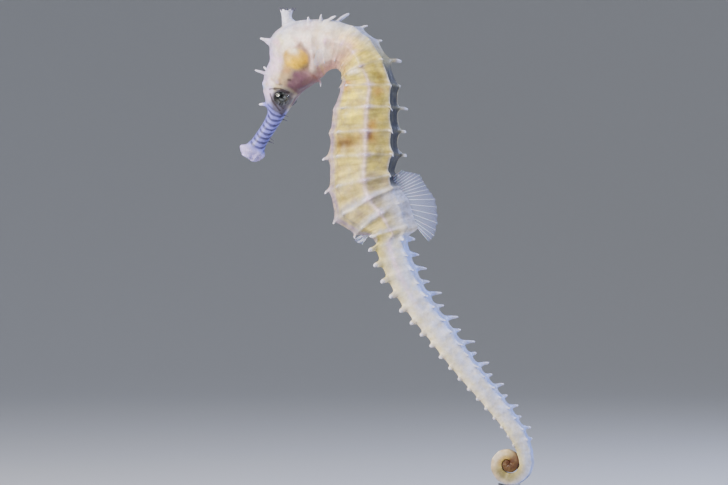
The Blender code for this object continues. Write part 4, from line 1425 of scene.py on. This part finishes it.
        # Soft lumps on the cheek and crown, and coarse ones on the lips
        lumps = noise.noise(Vector(point) * 0.7) * 0.2 * float(ramp(along, 12.0, 14.0))
        lumps += noise.noise(Vector(point) * 1.4) * 0.12 * float(ramp(along, 13.0, 15.0))
        lumps += noise.noise(Vector(point) * 0.9) * 1.2 * float(ramp(-along, -2.0, -0.6))
        return (height + 0.35 * mound + lumps) * float(1 - ramp(t, 0.0, 0.9))

    def shoulder(self, along: float | np.ndarray, rise: float | np.ndarray,
                 width: float) -> float | np.ndarray:
        """How near a place is to the ridge that runs down behind the gill cover.

        Args:
            along: Distance along the snout's axis.
            rise: Distance above it.
            width: How wide the ridge is.

        Returns:
            1 on the ridge, falling to 0 away from it.
        """
        start, way = np.array((23.9, -2.6)), np.array((5.6, 3.6))
        share = np.clip(((along - start[0]) * way[0] + (rise - start[1]) * way[1])
                        / (way @ way), 0, 1)
        gap = np.hypot(along - start[0] - share * way[0], rise - start[1] - share * way[1])
        return bell(gap, width)

    def cage_point(self, section: Section, u: float, side: int,
                   feet: tuple[np.ndarray, ...]) -> np.ndarray:
        """A point of the cage with its relief and the mounds under the spines.

        Args:
            section: The cross-section.
            u: The place round it.
            side: -1 or 1.
            feet: The places, ways, heights and reaches of the mounds.

        Returns:
            The point, in millimetres.
        """
        plain = LINE.point(section, u, side)
        away = unit(plain - np.array((section.x, 0.0, section.z)))
        if section.t < 0.9:
            spread = 0.8 * float(ramp(abs(plain[1]), 1.0, 3.0)) * float(1 - ramp(section.t, 0, 0.9))
            away = unit(away + np.array((0, side * spread, 0)))
        height = self.relief(section.t, u, plain) + self.head_relief(plain, section.t, u)
        places, ways, heights, reaches = feet
        gaps = np.linalg.norm(places - plain, axis=1)
        mound = (ways * (heights * bell(gaps, reaches))[:, None]).sum(axis=0)
        return plain + away * height + mound

    def vertex(self, bm: bmesh.types.BMesh, layers: tuple, point: np.ndarray,
               mark: tuple[float, ...]) -> bmesh.types.BMVert:
        """Adds a vertex that carries its station, place round and share of a spine."""
        vert = bm.verts.new(point)
        for layer, value in zip(layers, mark):
            vert[layer] = value
        return vert

    def grow(self, bm: bmesh.types.BMesh, edge: list[bmesh.types.BMVert],
             loops: list[np.ndarray], marks: list[tuple[float, float, float]],
             layers: tuple) -> list[bmesh.types.BMVert]:
        """Lofts a hole's edge through further loops of points.

        Args:
            bm: The cage.
            edge: The hole's vertices in order.
            loops: The points of each further loop, in the same order.
            marks: For each loop, its station, place round and share of a spine.
            layers: The cage's station, around and horn layers.

        Returns:
            The last loop's vertices.
        """
        grown = [edge] + [[self.vertex(bm, layers, point, mark) for point in points]
                          for points, mark in zip(loops, marks)]
        loft(bm, grown)
        return grown[-1]

    def grow_spine(self, bm: bmesh.types.BMesh, edge: list[bmesh.types.BMVert],
                   root: np.ndarray, tip: np.ndarray, hook_way: np.ndarray, spine: Spine,
                   layers: tuple) -> None:
        """Grows one blunt spine out of a hole's eight vertices.

        Args:
            bm: The cage.
            edge: The hole's vertices in order.
            root: The middle of the hole.
            tip: The spine's point.
            hook_way: The way that its end bends.
            spine: The spine's sizes.
            layers: The cage's station, around and horn layers.
        """
        length = float(np.linalg.norm(tip - root))
        direction = (tip - root) / length
        foot = coordinates(edge) - root
        foot = foot - np.outer(foot @ direction, direction)
        spans = np.linalg.norm(foot, axis=1)
        round_foot = foot / spans[:, None]
        base = float(np.median(spans))
        girth = spine.girth
        if spine.length > 0.95:
            profile = ((0.08, base * 0.95), (0.27, base * 0.4 + girth * 0.7),
                       (0.5, girth * 1.05), (0.75, girth * 0.85), (0.92, girth * 0.72))
        else:
            profile = ((0.2, (base + girth) / 2), (0.6, girth * 0.9), (0.92, girth * 0.65))
        loops, marks = [], []
        for share, radius in profile:
            bow = hook_way * spine.hook * length * (share**2 - share)
            centre = root + direction * length * share + bow
            roundness = min(share * 3, 1.0)
            shape = round_foot * radius * roundness + foot * (radius / base) * (1 - roundness)
            loops.append(centre + shape)
            marks.append((spine.t, spine.ridge.value, share))
        last = self.grow(bm, edge, loops, marks, layers)
        point = self.vertex(bm, layers, tip, (spine.t, spine.ridge.value, 1.0))
        for i in (0, 2, 4, 6):
            bm.faces.new((point, last[i - 1], last[i], last[i + 1]))

    def grow_coronet(self, bm: bmesh.types.BMesh, edge: list[bmesh.types.BMVert],
                     layers: tuple) -> None:
        """Grows the crown on the nape: a short column that flares into five blunt points.

        Args:
            bm: The cage.
            edge: The hole's twenty vertices in order.
            layers: The cage's station, around and horn layers.
        """
        up = heading_vector(self.coronet_heading + 90)
        lift = np.array((-0.02, 0.0, 1.0))
        foot = np.array((LINE.crook[0], 0.0, LINE.crook[1])) + up * self.coronet_foot
        fore = np.array((-up[2], 0.0, up[0]))
        spans = coordinates(edge) - foot
        angles = np.arctan2(spans[:, 1], spans @ fore)
        turn = 1 if math.sin(angles[1] - angles[0]) > 0 else -1
        angles = angles[0] + turn * np.arange(len(edge)) * 2 * math.pi / len(edge)
        # Height, radius, how far the five points show, and the share of a spine's paleness
        levels = ((0.1, 1.55, 0.0, 0.1), (0.6, 1.25, 0.0, 0.3), (1.3, 1.1, 0.05, 0.5),
                  (2.0, 1.15, 0.15, 0.7), (2.5, 1.3, 0.45, 0.9), (2.9, 1.35, 1.0, 1.0),
                  (2.55, 0.85, 0.35, 0.8), (2.1, 0.5, 0.0, 0.6))
        loops, marks = [], []
        for height, radius, points, paleness in levels:
            blend = min(height / 2.0, 1.0)
            centre = foot + up * 0.5 * min(height, 1.0) + lift * max(height - 0.5, 0.0)
            axis = unit(up * (1 - blend) + lift * blend)
            front = unit(fore - axis * (fore @ axis))
            ring = []
            for angle in angles:
                peak = math.cos(5 * angle / 2) ** 2
                spread = radius * (1 + 0.4 * points * (peak - 0.4))
                offset = front * math.cos(angle) + np.array((0, 1, 0)) * math.sin(angle)
                ring.append(centre + offset * spread + lift * points * 0.95 * (peak - 0.45))
            loops.append(np.array(ring))
            marks.append((self.coronet_station, 0.0, paleness))
        last = self.grow(bm, edge, loops, marks, layers)
        mark = (self.coronet_station, 0.0, 0.5)
        cap(bm, last, self.vertex(bm, layers, coordinates(last).mean(axis=0), mark))

    def close_mouth(self, bm: bmesh.types.BMesh, lips: list[bmesh.types.BMVert],
                    layers: tuple) -> None:
        """Turns the first loop in between the lips and closes the throat behind them.

        Args:
            bm: The cage.
            lips: The first loop's vertices in order.
            layers: The cage's station, around and horn layers.
        """
        axis = heading_vector(LINE.snout_heading)
        rim = coordinates(lips)
        middle = rim.mean(axis=0)
        t = float(LINE.table[0, 0])
        loops = [middle + (rim - middle) * 0.62 - axis * 0.18,
                 middle + (rim - middle) * np.array((0.30, 0.55, 0.30)) + axis * 0.15,
                 middle + (rim - middle) * np.array((0.22, 0.45, 0.22)) + axis * 1.0]
        last = self.grow(bm, lips, loops, [(t, 2.0)] * 3, layers)
        cap(bm, last, self.vertex(bm, layers, middle + axis * 1.15, (t, 2.0)))

    def close_tail(self, bm: bmesh.types.BMesh, tail: list[bmesh.types.BMVert],
                   onward: np.ndarray, layers: tuple) -> None:
        """Rounds off the tail's tip.

        Args:
            bm: The cage.
            tail: The last loop's vertices in order.
            onward: The way that the tail points.
            layers: The cage's station, around and horn layers.
        """
        rim = coordinates(tail)
        middle = rim.mean(axis=0)
        blunt = [middle + (rim - middle) * 0.95 + onward * 0.4,
                 middle + (rim - middle) * 0.62 + onward * 0.75]
        mark = (LINE.end, 2.0)
        last = self.grow(bm, tail, blunt, [mark] * 2, layers)
        cap(bm, last, self.vertex(bm, layers, middle + onward * 0.9, mark))

    def spread(self, column: float, t: float) -> float:
        """Moves the columns beside a ridge apart on the thin tail, for broad spines.

        Args:
            column: The column's place round the section.
            t: The station.

        Returns:
            The place round the section at this station.
        """
        ridge = min((1.0, 3.0), key=lambda k: abs(column - k))
        gap = column - ridge
        wide = float(np.interp(abs(gap), (0, 0.12, 0.24, 0.4), (0, 0.22, 0.32, 0.4)))
        tail = float(ramp(t, 11.5, 12.5))
        if abs(gap) > 0.4 or tail == 0:
            return column
        return ridge + math.copysign(abs(gap) * (1 - tail) + wide * tail, gap)

    def cage(self) -> bmesh.types.BMesh:
        """The coarse closed mesh with its spines, coronet, mouth and tail tip."""
        bm = bmesh.new()
        layers = tuple(bm.verts.layers.float.new(name) for name in ("station", "around", "horn"))
        ring = ([(u, 1) for u in self.columns] + [(u, -1) for u in self.columns[-2:0:-1]])
        rows = self.rows()
        sections = [LINE.section(t) for t in rows]
        found = self.feet()
        feet = (np.array([f.place for f in found]), np.array([f.way for f in found]),
                np.array([f.height for f in found]), np.array([f.reach for f in found]))
        grid = []
        for section in sections:
            loop = []
            for column, side in ring:
                u = self.spread(column, section.t)
                point = self.cage_point(section, u, side, feet)
                loop.append(self.vertex(bm, layers, point, (section.t, u)))
            grid.append(loop)
        count = len(ring)
        loft(bm, grid)
        row_of = {round(t, 3): i for i, t in enumerate(rows)}
        neighbours = ((-1, -1), (-1, 0), (-1, 1), (0, 1), (1, 1), (1, 0), (1, -1), (0, -1))
        for spine in self.spines():
            r = row_of.get(round(spine.t, 3))
            if r is None or not 0 < r < len(rows) - 1:
                log.warning("no row for the spine at %s", spine.t)
                continue
            section = sections[r]
            along = heading_vector(section.heading)
            u = float(spine.ridge.value)
            for side in self.sides(spine):
                c = ring.index((u, side))
                edge = [grid[r + dr][(c + dc) % count] for dr, dc in neighbours]
                root = np.array(grid[r][c].co)
                way = LINE.outward(section, u, side) + spine.lean * along
                tip = LINE.point(section, u, side) + way * spine.length / np.linalg.norm(way)
                bm.verts.remove(grid[r][c])
                self.grow_spine(bm, edge, root, tip, along, spine, layers)
        r = row_of[round(self.coronet_station, 3)]
        edge = ([grid[r - 3][c] for c in (-2, -1, 0, 1)] + [grid[r + k][2] for k in range(-3, 3)]
                + [grid[r + 3][c] for c in (2, 1, 0, -1)]
                + [grid[r + k][-2] for k in range(3, -3, -1)])
        inside = {grid[r + k][c] for k in range(-2, 3) for c in (-1, 0, 1)}
        for vert in inside:
            bm.verts.remove(vert)
        self.grow_coronet(bm, edge, layers)
        self.close_mouth(bm, grid[0], layers)
        self.close_tail(bm, grid[-1], heading_vector(sections[-1].heading), layers)
        bmesh.ops.recalc_face_normals(bm, faces=bm.faces)
        return bm

    def read(self, mesh: bpy.types.Mesh, name: str) -> np.ndarray:
        """Reads a float attribute of a mesh's points."""
        values = np.zeros(len(mesh.vertices), np.float32)
        mesh.attributes[name].data.foreach_get("value", values)
        return values.astype(float)

    def write(self, mesh: bpy.types.Mesh, name: str, values: np.ndarray) -> None:
        """Writes a float attribute of a mesh's points."""
        attribute = mesh.attributes.get(name) or mesh.attributes.new(name, "FLOAT", "POINT")
        attribute.data.foreach_set("value", np.ascontiguousarray(values, np.float32))

    def paint(self, mesh: bpy.types.Mesh) -> None:
        """Works out how strongly each tone shows at each point of the skin.

        Args:
            mesh: The finished skin, in metres.
        """
        t, u, horn = (self.read(mesh, name) for name in ("station", "around", "horn"))
        points = np.zeros(len(mesh.vertices) * 3, np.float32)
        mesh.vertices.foreach_get("co", points)
        points = points.reshape(-1, 3).astype(float) / MM
        along, rise = LINE.head_place(points)
        coat = Coat(t, u, along, rise, np.abs(points[:, 1]))
        coat.body(self.patches)
        coat.tail()
        coat.head(self)
        coat.gill_cover(self.cover)
        coat.eye_folds()
        horn = np.clip(horn, 0, 1)
        coat.weights["horn"] = np.where(horn > 0.01, 0.15 + 0.8 * ramp(horn, 0.1, 0.6), 0)
        for name, values in coat.weights.items():
            self.write(mesh, name, np.clip(values, 0, 1))
        head = coat.on_head
        self.write(mesh, "along", along)
        self.write(mesh, "pleat", ramp(t, 0.8, 2.2) * (1 - 0.85 * ramp(t, 11.5, 13)))
        self.write(mesh, "snout", (1 - ramp(along, 11.5, 14.0)) * head)
        # The bands fade out along the top of the snout, leaving a painted highlight there
        self.write(mesh, "band", ramp(along, 1.2, 2.4) * (1 - ramp(along, 11.2, 12.4))
                   * ramp(u, 0.5, 1.4) * 0.9)
        self.write(mesh, "rise", rise)
        self.write(mesh, "cheek", head * ramp(np.abs(points[:, 1]), 0.5, 1.2))

    def build(self) -> bpy.types.Object:
        """Makes the skin, dresses it and hands it over."""
        skin = mesh_object("seahorse_skin", self.cage(), SeahorseSkin().make())
        smooth = skin.modifiers.new("smooth", "SUBSURF")
        smooth.levels = smooth.render_levels = 1
        freeze(skin)
        skin.data.shade_smooth()
        self.paint(skin.data)
        hand_over(skin, Slot.BODY, "snout", "head", "neck", "trunk_upper", "trunk_middle",
                  "trunk_lower", "tail_upper", "tail_middle", "tail_lower", "tail_coil_outer",
                  "tail_coil_inner", "coronet")
        return skin


# ---------------------------------------------------------------- eyes


@dataclass
class Eye:
    """One eye: an opaque globe with a sunk iris, under a clear cornea."""

    side: Side
    along: float = EYE_ALONG
    rise: float = EYE_RISE
    out: float = 2.75
    radius: float = EYE_RADIUS
    iris_angle: float = 52.0
    pupil_angle: float = 17.0
    turn_back: float = 20.0
    turn_up: float = 16.0
    segments: int = 64

    def axes(self) -> tuple[np.ndarray, np.ndarray, np.ndarray]:
        """The gaze's own axes: towards the crown, away from it, and out along the gaze."""
        out = np.array((0.0, float(self.side.value), 0.0))
        axis = heading_vector(LINE.snout_heading)
        up = heading_vector(LINE.snout_heading + 90)
        gaze = (out + axis * math.tan(math.radians(self.turn_back))
                - up * math.tan(math.radians(self.turn_up)))
        gaze = unit(gaze)
        first = unit(axis - gaze * (axis @ gaze))
        return first, np.cross(gaze, first), gaze

    def lathe(self, name: str, profile: list[tuple[float, float]],
              material: bpy.types.Material) -> bpy.types.Object:
        """Turns a profile round the gaze.

        Args:
            name: The piece's name.
            profile: Distances from the gaze's axis and along it, from pole to pole.
            material: The finish.

        Returns:
            The piece.
        """
        first, second, gaze = self.axes()
        centre = LINE.head_point(self.along, self.rise, self.side.value * self.out)
        bm = bmesh.new()
        poles = [bm.verts.new(centre + gaze * profile[i][1]) for i in (0, -1)]
        loops = []
        for reach, level in profile[1:-1]:
            loops.append([bm.verts.new(
                centre + gaze * level + reach * (
                    first * math.cos(2 * math.pi * k / self.segments)
                    + second * math.sin(2 * math.pi * k / self.segments)))
                for k in range(self.segments)])
        loft(bm, loops)
        for loop, pole in zip((loops[0], loops[-1]), poles):
            cap(bm, loop, pole)
        bmesh.ops.recalc_face_normals(bm, faces=bm.faces)
        layer = bm.verts.layers.float_vector.new("gaze")
        for vert in bm.verts:
            offset = np.array(vert.co) - centre
            vert[layer] = Vector((offset @ first, -self.side.value * (offset @ second),
                                  offset @ gaze)) / self.radius
        return mesh_object(name, bm, material)

    def build(self) -> list[bpy.types.Object]:
        """Makes the globe and the cornea and hands them over."""
        word = self.side.name.lower()
        inner = self.radius * 0.96
        edge = math.radians(self.iris_angle)
        pupil = math.radians(self.pupil_angle)
        # The iris slopes in from the rim to the pupil, and the pupil is a dark pit
        profile = [(0.0, inner * math.cos(pupil) - 0.75)]
        profile += [(inner * math.sin(pupil) * k, inner * math.cos(pupil) - depth)
                    for k, depth in ((0.5, 0.74), (0.85, 0.65), (0.97, 0.45), (1.0, 0.34))]
        for k in range(1, 7):
            angle = pupil + (edge - pupil) * k / 6
            profile.append((inner * math.sin(angle), inner * math.cos(angle) - 0.3 * (1 - k / 6)))
        profile += [(inner * math.sin(a), inner * math.cos(a))
                    for a in np.linspace(edge, math.pi, 16)[1:-1]]
        profile.append((0.0, -inner))
        globe = self.lathe(f"eye_globe_{word}", profile, EyeGlobe().make())
        hand_over(globe, Slot.EYE, f"eye_{word}")
        reach = edge * 1.04
        clear = [(0.0, self.radius)]
        clear += [(self.radius * math.sin(a), self.radius * math.cos(a))
                  for a in np.linspace(0, reach, 9)[1:]]
        clear += [((inner + 0.01) * math.sin(a), (inner + 0.01) * math.cos(a))
                  for a in np.linspace(reach, 0, 9)[:-1]]
        clear.append((0.0, inner + 0.01))
        cornea = self.lathe(f"eye_cornea_{word}", clear, Cornea().make())
        hand_over(cornea, Slot.EYE)
        return [globe, cornea]


# ---------------------------------------------------------------- fins and filaments


def tube_tree() -> bpy.types.NodeTree:
    """Geometry nodes that turn each chain of edges into a tapering tube.

    Returns:
        The node group, with inputs for the radius, the sides and the finish.
    """
    name = "tapering_tubes"
    if name in bpy.data.node_groups:
        return bpy.data.node_groups[name]
    tree = bpy.data.node_groups.new(name, "GeometryNodeTree")
    tree.interface.new_socket("Geometry", in_out="INPUT", socket_type="NodeSocketGeometry")
    tree.interface.new_socket("Radius", in_out="INPUT", socket_type="NodeSocketFloat")
    tree.interface.new_socket("Sides", in_out="INPUT", socket_type="NodeSocketInt")
    tree.interface.new_socket("Finish", in_out="INPUT", socket_type="NodeSocketMaterial")
    tree.interface.new_socket("Geometry", in_out="OUTPUT", socket_type="NodeSocketGeometry")
    start = add_node(tree, "NodeGroupInput")
    curve = add_node(tree, "GeometryNodeMeshToCurve", {}, {"Mesh": start.outputs["Geometry"]})
    taper = add_node(tree, "GeometryNodeInputNamedAttribute", {"data_type": "FLOAT"}, {
        "Name": "taper"})
    shaped = add_node(tree, "GeometryNodeSetCurveRadius", {}, {
        "Curve": curve.outputs["Curve"], "Radius": taper.outputs["Attribute"]})
    circle = add_node(tree, "GeometryNodeCurvePrimitiveCircle", {"mode": "RADIUS"}, {
        "Resolution": start.outputs["Sides"], "Radius": start.outputs["Radius"]})
    tube = add_node(tree, "GeometryNodeCurveToMesh", {}, {
        "Curve": shaped.outputs["Curve"], "Profile Curve": circle.outputs["Curve"],
        "Fill Caps": True})
    if "Scale" in tube.inputs:
        tree.links.new(taper.outputs["Attribute"], tube.inputs["Scale"])
    real = add_node(tree, "GeometryNodeRealizeInstances", {}, {"Geometry": tube.outputs["Mesh"]})
    finished = add_node(tree, "GeometryNodeSetMaterial", {}, {
        "Geometry": real.outputs["Geometry"], "Material": start.outputs["Finish"]})
    add_node(tree, "NodeGroupOutput", {}, {"Geometry": finished.outputs["Geometry"]})
    return tree


def tubes(name: str, chains: list[np.ndarray], tapers: list[np.ndarray], radius: float,
          sides: int, finish: bpy.types.Material) -> bpy.types.Object:
    """Makes one mesh of tapering tubes along chains of points.

    Args:
        name: The piece's name.
        chains: The points of each tube's middle line, in millimetres.
        tapers: For each point, its share of the radius.
        radius: The full radius, in millimetres.
        sides: How many sides a tube has.
        finish: The tubes' material.

    Returns:
        The piece, as a plain mesh.
    """
    bm = bmesh.new()
    layer = bm.verts.layers.float.new("taper")
    for chain, taper in zip(chains, tapers):
        last = None
        for point, share in zip(chain, taper):
            vert = bm.verts.new(point)
            vert[layer] = float(share)
            if last is not None:
                bm.edges.new((last, vert))
            last = vert
    piece = mesh_object(name, bm, finish)
    nodes = piece.modifiers.new("tubes", "NODES")
    nodes.node_group = tube_tree()
    values = {"Radius": radius * MM, "Sides": sides, "Finish": finish}
    for item in nodes.node_group.interface.items_tree:
        if item.in_out == "INPUT" and item.name in values:
            nodes[item.identifier] = values[item.name]
    freeze(piece)
    bm = bmesh.new()
    bm.from_mesh(piece.data)
    bmesh.ops.recalc_face_normals(bm, faces=bm.faces)
    bm.to_mesh(piece.data)
    bm.free()
    piece.data.shade_smooth()
    return piece


@dataclass
class Fin:
    """A fan of bony rays in a clear web."""

    name: str
    roots: list[np.ndarray]
    tips: list[np.ndarray]
    normal: np.ndarray
    bend: float = 0.0
    ripple: float = 0.12
    web_thickness: float = 0.07
    ray_radius: float = 0.055
    web_finish: FinWeb = FinWeb()
    ray_finish: FinRay = FinRay()
    steps: int = 12

    def place(self, across: float, along: float) -> np.ndarray:
        """A point of the fin's middle surface.

        Args:
            across: Place between the first ray, 0, and the last, 1.
            along: Place from root, 0, to tip, 1.

        Returns:
            The point, in millimetres.
        """
        last = len(self.roots) - 1
        knots = np.linspace(0, 1, last + 1)
        root = smooth_curve(knots, np.array(self.roots), across)
        tip = smooth_curve(knots, np.array(self.tips), across)
        between = across * last
        notch = 0.05 * math.sin(math.pi * (between % 1)) ** 2
        wave = math.sin(along * 4.0 + across * 9.0) * along * self.ripple
        wave += self.bend * along**2
        return root + (tip - root) * along * (1 - notch * along) + self.normal * wave

    def web(self) -> bmesh.types.BMesh:
        """The web as a closed sheet, four strips wide between each two rays."""
        across = np.linspace(0, 1, (len(self.roots) - 1) * 4 + 1)
        bm = bmesh.new()
        layer = bm.verts.layers.float.new("reach")
        sheets = []
        for offset in (-0.5, 0.5):
            sheet = []
            for a in across:
                line = []
                for k in range(self.steps + 1):
                    share = k / self.steps
                    thick = self.web_thickness * (1 - 0.6 * share)
                    vert = bm.verts.new(self.place(a, share) + self.normal * offset * thick)
                    vert[layer] = share
                    line.append(vert)
                sheet.append(line)
            sheets.append(sheet)
        under, over = sheets
        for i in range(len(across) - 1):
            for k in range(self.steps):
                bm.faces.new((under[i][k], under[i + 1][k], under[i + 1][k + 1], under[i][k + 1]))
                bm.faces.new((over[i][k], over[i][k + 1], over[i + 1][k + 1], over[i + 1][k]))
            for k in (0, self.steps):
                bm.faces.new((under[i][k], over[i][k], over[i + 1][k], under[i + 1][k]))
        for i in (0, len(across) - 1):
            for k in range(self.steps):
                bm.faces.new((under[i][k], under[i][k + 1], over[i][k + 1], over[i][k]))
        bmesh.ops.recalc_face_normals(bm, faces=bm.faces)
        return bm

    def build(self) -> list[bpy.types.Object]:
        """Makes the web and the rays and hands them over."""
        web = mesh_object(f"{self.name}_web", self.web(), self.web_finish.make())
        hand_over(web, Slot.FIN, self.name)
        # The rays end just short of the web's edge
        shares = np.linspace(0, 0.985, self.steps + 1)
        chains = [np.array([self.place(across, share) for share in shares])
                  for across in np.linspace(0, 1, len(self.roots))]
        tapers = [1 - 0.65 * shares] * len(chains)
        rays = tubes(f"{self.name}_rays", chains, tapers, self.ray_radius, 8,
                     self.ray_finish.make())
        hand_over(rays, Slot.FIN)
        return [web, rays]


def midline_fin(name: str, ridge: Ridge, start: float, end: float, rays: int, first: float,
                last: float, lengths: tuple[float, ...], crowding: float) -> Fin:
    """A fin on the middle of the back or belly, its rays fanning between two headings.

    Args:
        name: The CAD node that it stands for.
        ridge: The line that it stands on.
        start: Station of the first ray.
        end: Station of the last ray.
        rays: How many rays it has.
        first: Heading of the first ray.
        last: Heading of the last ray.
        lengths: Ray lengths at even places across the fin.
        crowding: How much closer in heading the first rays are than the last.

    Returns:
        The fin.
    """
    roots, tips = [], []
    for i in range(rays):
        share = i / (rays - 1)
        section = LINE.section(start + (end - start) * share)
        root = LINE.point(section, float(ridge.value), 1)
        length = float(smooth_curve(np.linspace(0, 1, len(lengths)), lengths, share))
        away = heading_vector(section.heading + (90 if ridge is Ridge.BACK else -90))
        tips.append(root + away * 0.3
                    + heading_vector(first + (last - first) * share**crowding) * length)
        roots.append(root - away * 0.15)
    return Fin(name, roots, tips, np.array((0.0, 1.0, 0.0)))


def pectoral_fin(side: Side, rays: int = 18) -> Fin:
    """A small fan on one side of the neck, laid back behind the gill cover.

    Args:
        side: The animal's side.
        rays: How many rays it has.

    Returns:
        The fin.
    """
    base = np.array((-11.2, side.value * 4.85, 112.0))
    rise = unit(np.array((0.25, 0.0, 1.0)))
    swept = unit(np.array((0.95, side.value * 0.3, -0.1)))
    roots, tips = [], []
    for i in range(rays):
        share = i / (rays - 1)
        angle = math.radians(38 - 76 * share)
        root = base + rise * 2.6 * (0.5 - share)
        ray = swept * math.cos(angle) + rise * math.sin(angle)
        roots.append(root)
        tips.append(root + ray * (1.4 + 0.9 * math.sin(math.pi * share)))
    return Fin(f"pectoral_fin_{side.name.lower()}", roots, tips, unit(np.cross(swept, rise)),
               ripple=0.06, ray_radius=0.035, web_finish=FinWeb(clearness=0.08),
               ray_finish=FinRay(clearness=0.3))


@dataclass
class Filaments:
    """Fine dark filaments on the coronet's points and under the snout."""

    radius: float = 0.13
    seed: int = 5
    crown: tuple[float, float, float] = (-18.9, 0.0, 122.6)
    crown_count: int = 9
    # Places of the filaments under the snout: along its axis and out from the middle plane
    snout_roots: tuple[tuple[float, float], ...] = (
        (11.3, -0.4), (10.3, 0.4), (5.4, -0.4), (4.5, 0.4))
    snout_rise: float = -1.6

    def build(self) -> bpy.types.Object:
        """Makes the filaments and hands them over."""
        draw = np.random.default_rng(self.seed)
        shares = np.linspace(0, 1, 6)
        chains = []
        for k in range(self.crown_count):
            angle = 2 * math.pi * (k + 0.3 * draw.random()) / self.crown_count
            away = np.array((math.cos(angle), math.sin(angle), 0.0))
            root = np.array(self.crown) + away * (1.2 + 0.3 * draw.random())
            end = root + away * (0.2 + 0.6 * draw.random()) + np.array((0, 0, 0.7))
            bow = np.array((0, 0, 0.15))
            chains.append(np.array([root * (1 - s) + end * s + bow * math.sin(math.pi * s)
                                    for s in shares]))
        down = -heading_vector(LINE.snout_heading + 90)
        for along, out in self.snout_roots:
            root = LINE.head_point(along, self.snout_rise, out)
            lean = down + 0.35 * heading_vector(LINE.snout_heading) * (draw.random() - 0.2)
            chains.append(np.array([root + lean * 1.3 * s + np.array((0, out * 0.4, 0)) * s**2
                                    for s in shares]))
        tapers = [1 - 0.7 * shares] * len(chains)
        piece = tubes("skin_filaments", chains, tapers, self.radius, 8, Filament().make())
        hand_over(piece, Slot.BODY)
        return piece


# ---------------------------------------------------------------- stand and studio


@dataclass
class Stand:
    """The display stand, whose solids stay and only take their finish."""

    def build(self) -> None:
        """Dresses the base and the rod."""
        for node, finish in (("stand_base", Walnut()), ("stand_rod", BrushedSteel())):
            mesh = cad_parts[node].data
            material = finish.make()
            mesh.materials.clear()
            mesh.materials.append(material)
            log.info("%s: dressed as %s", node, material.name)


@dataclass
class Studio:
    """A pale floor that curves up into a wall, soft light from large panels, and a camera."""

    target: tuple[float, float, float] = (-1.37, 0.0, 71.35)
    distance: float = 600.0
    azimuth: float = 15.0
    lens: float = 135.0
    floor_radius: float = 700.0
    curve_radius: float = 1100.0
    wall_height: float = 1500.0

    def floor(self) -> None:
        """Makes the floor and wall as one sweep, so no line shows where they meet."""
        profile = [(0.0, 0.0), (self.floor_radius * 0.5, 0.0)]
        profile += [(self.floor_radius + self.curve_radius * math.sin(a),
                     self.curve_radius * (1 - math.cos(a)))
                    for a in np.linspace(0, math.pi / 2, 17)]
        profile.append((self.floor_radius + self.curve_radius, self.wall_height))
        bm = bmesh.new()
        middle = bm.verts.new((0.0, 0.0, 0.0))
        sides = 96
        loops = [[bm.verts.new((reach * math.cos(2 * math.pi * k / sides),
                                reach * math.sin(2 * math.pi * k / sides), level))
                  for k in range(sides)] for reach, level in profile[1:]]
        cap(bm, loops[0], middle)
        loft(bm, loops[::-1])
        floor = mesh_object("studio_floor", bm, BackdropPaper().make())
        floor.data.shade_smooth()

    def build(self) -> None:
        """Makes the floor, the lights and the camera."""
        self.floor()
        world = bpy.data.worlds.new("studio_air")
        world.use_nodes = True
        fill_inputs(world.node_tree, world.node_tree.nodes["Background"], {
            "Color": "#DDE1E8", "Strength": 0.5})
        bpy.context.scene.world = world
        self.panel("key", (-170, -250, 250), 150, 2.9, "#FFF6E8")
        self.panel("fill", (460, -380, 120), 300, 0.8, "#E3EAFF")
        self.panel("rim", (300, 190, 300), 190, 2.4, "#C9D6FF")
        self.camera()

    def panel(self, name: str, place: tuple[float, float, float], size: float, power: float,
              colour: str) -> None:
        """Adds a square soft light that faces the animal.

        Args:
            name: The light's name.
            place: Its middle, in millimetres.
            size: Its side, in millimetres.
            power: Its power in watts.
            colour: Its colour as an sRGB hex value.
        """
        light = bpy.data.lights.new(name, "AREA")
        light.size = size * MM
        light.energy = power
        light.color = hex_colour(colour)[:3]
        lamp = bpy.data.objects.new(name, light)
        lamp.location = Vector(place) * MM
        lamp.visible_camera = False
        towards = (Vector(self.target) - Vector(place)).to_track_quat("-Z", "Y")
        lamp.rotation_euler = towards.to_euler()
        bpy.context.scene.collection.objects.link(lamp)

    def camera(self) -> None:
        """Places the camera level with the middle of the animal."""
        lens = bpy.data.cameras.new("camera")
        lens.lens = self.lens
        lens.sensor_width = 36.0
        lens.clip_start = 0.01
        lens.clip_end = 20.0
        camera = bpy.data.objects.new("camera", lens)
        turn = math.radians(self.azimuth)
        offset = Vector((math.sin(turn), -math.cos(turn), 0.0)) * self.distance
        camera.location = (Vector(self.target) + offset) * MM
        camera.rotation_euler = (math.pi / 2, 0.0, turn)
        bpy.context.scene.collection.objects.link(camera)
        bpy.context.scene.camera = camera


def main() -> None:
    """Builds every piece in order."""
    logging.basicConfig(level=logging.INFO, format="%(name)s: %(message)s")
    Skin().build()
    for side in Side:
        Eye(side).build()
    midline_fin("dorsal_fin", Ridge.BACK, start=9.1, end=12.25, rays=19, first=40, last=-56,
                lengths=(2.4, 4.6, 5.2, 5.8, 3.6), crowding=1.7).build()
    midline_fin("anal_fin", Ridge.BELLY, start=11.35, end=11.8, rays=4, first=-150, last=-120,
                lengths=(1.6, 2.3, 2.0), crowding=2.0).build()
    for side in Side:
        pectoral_fin(side).build()
    Filaments().build()
    Stand().build()
    Studio().build()


if __name__ == "__main__":
    main()
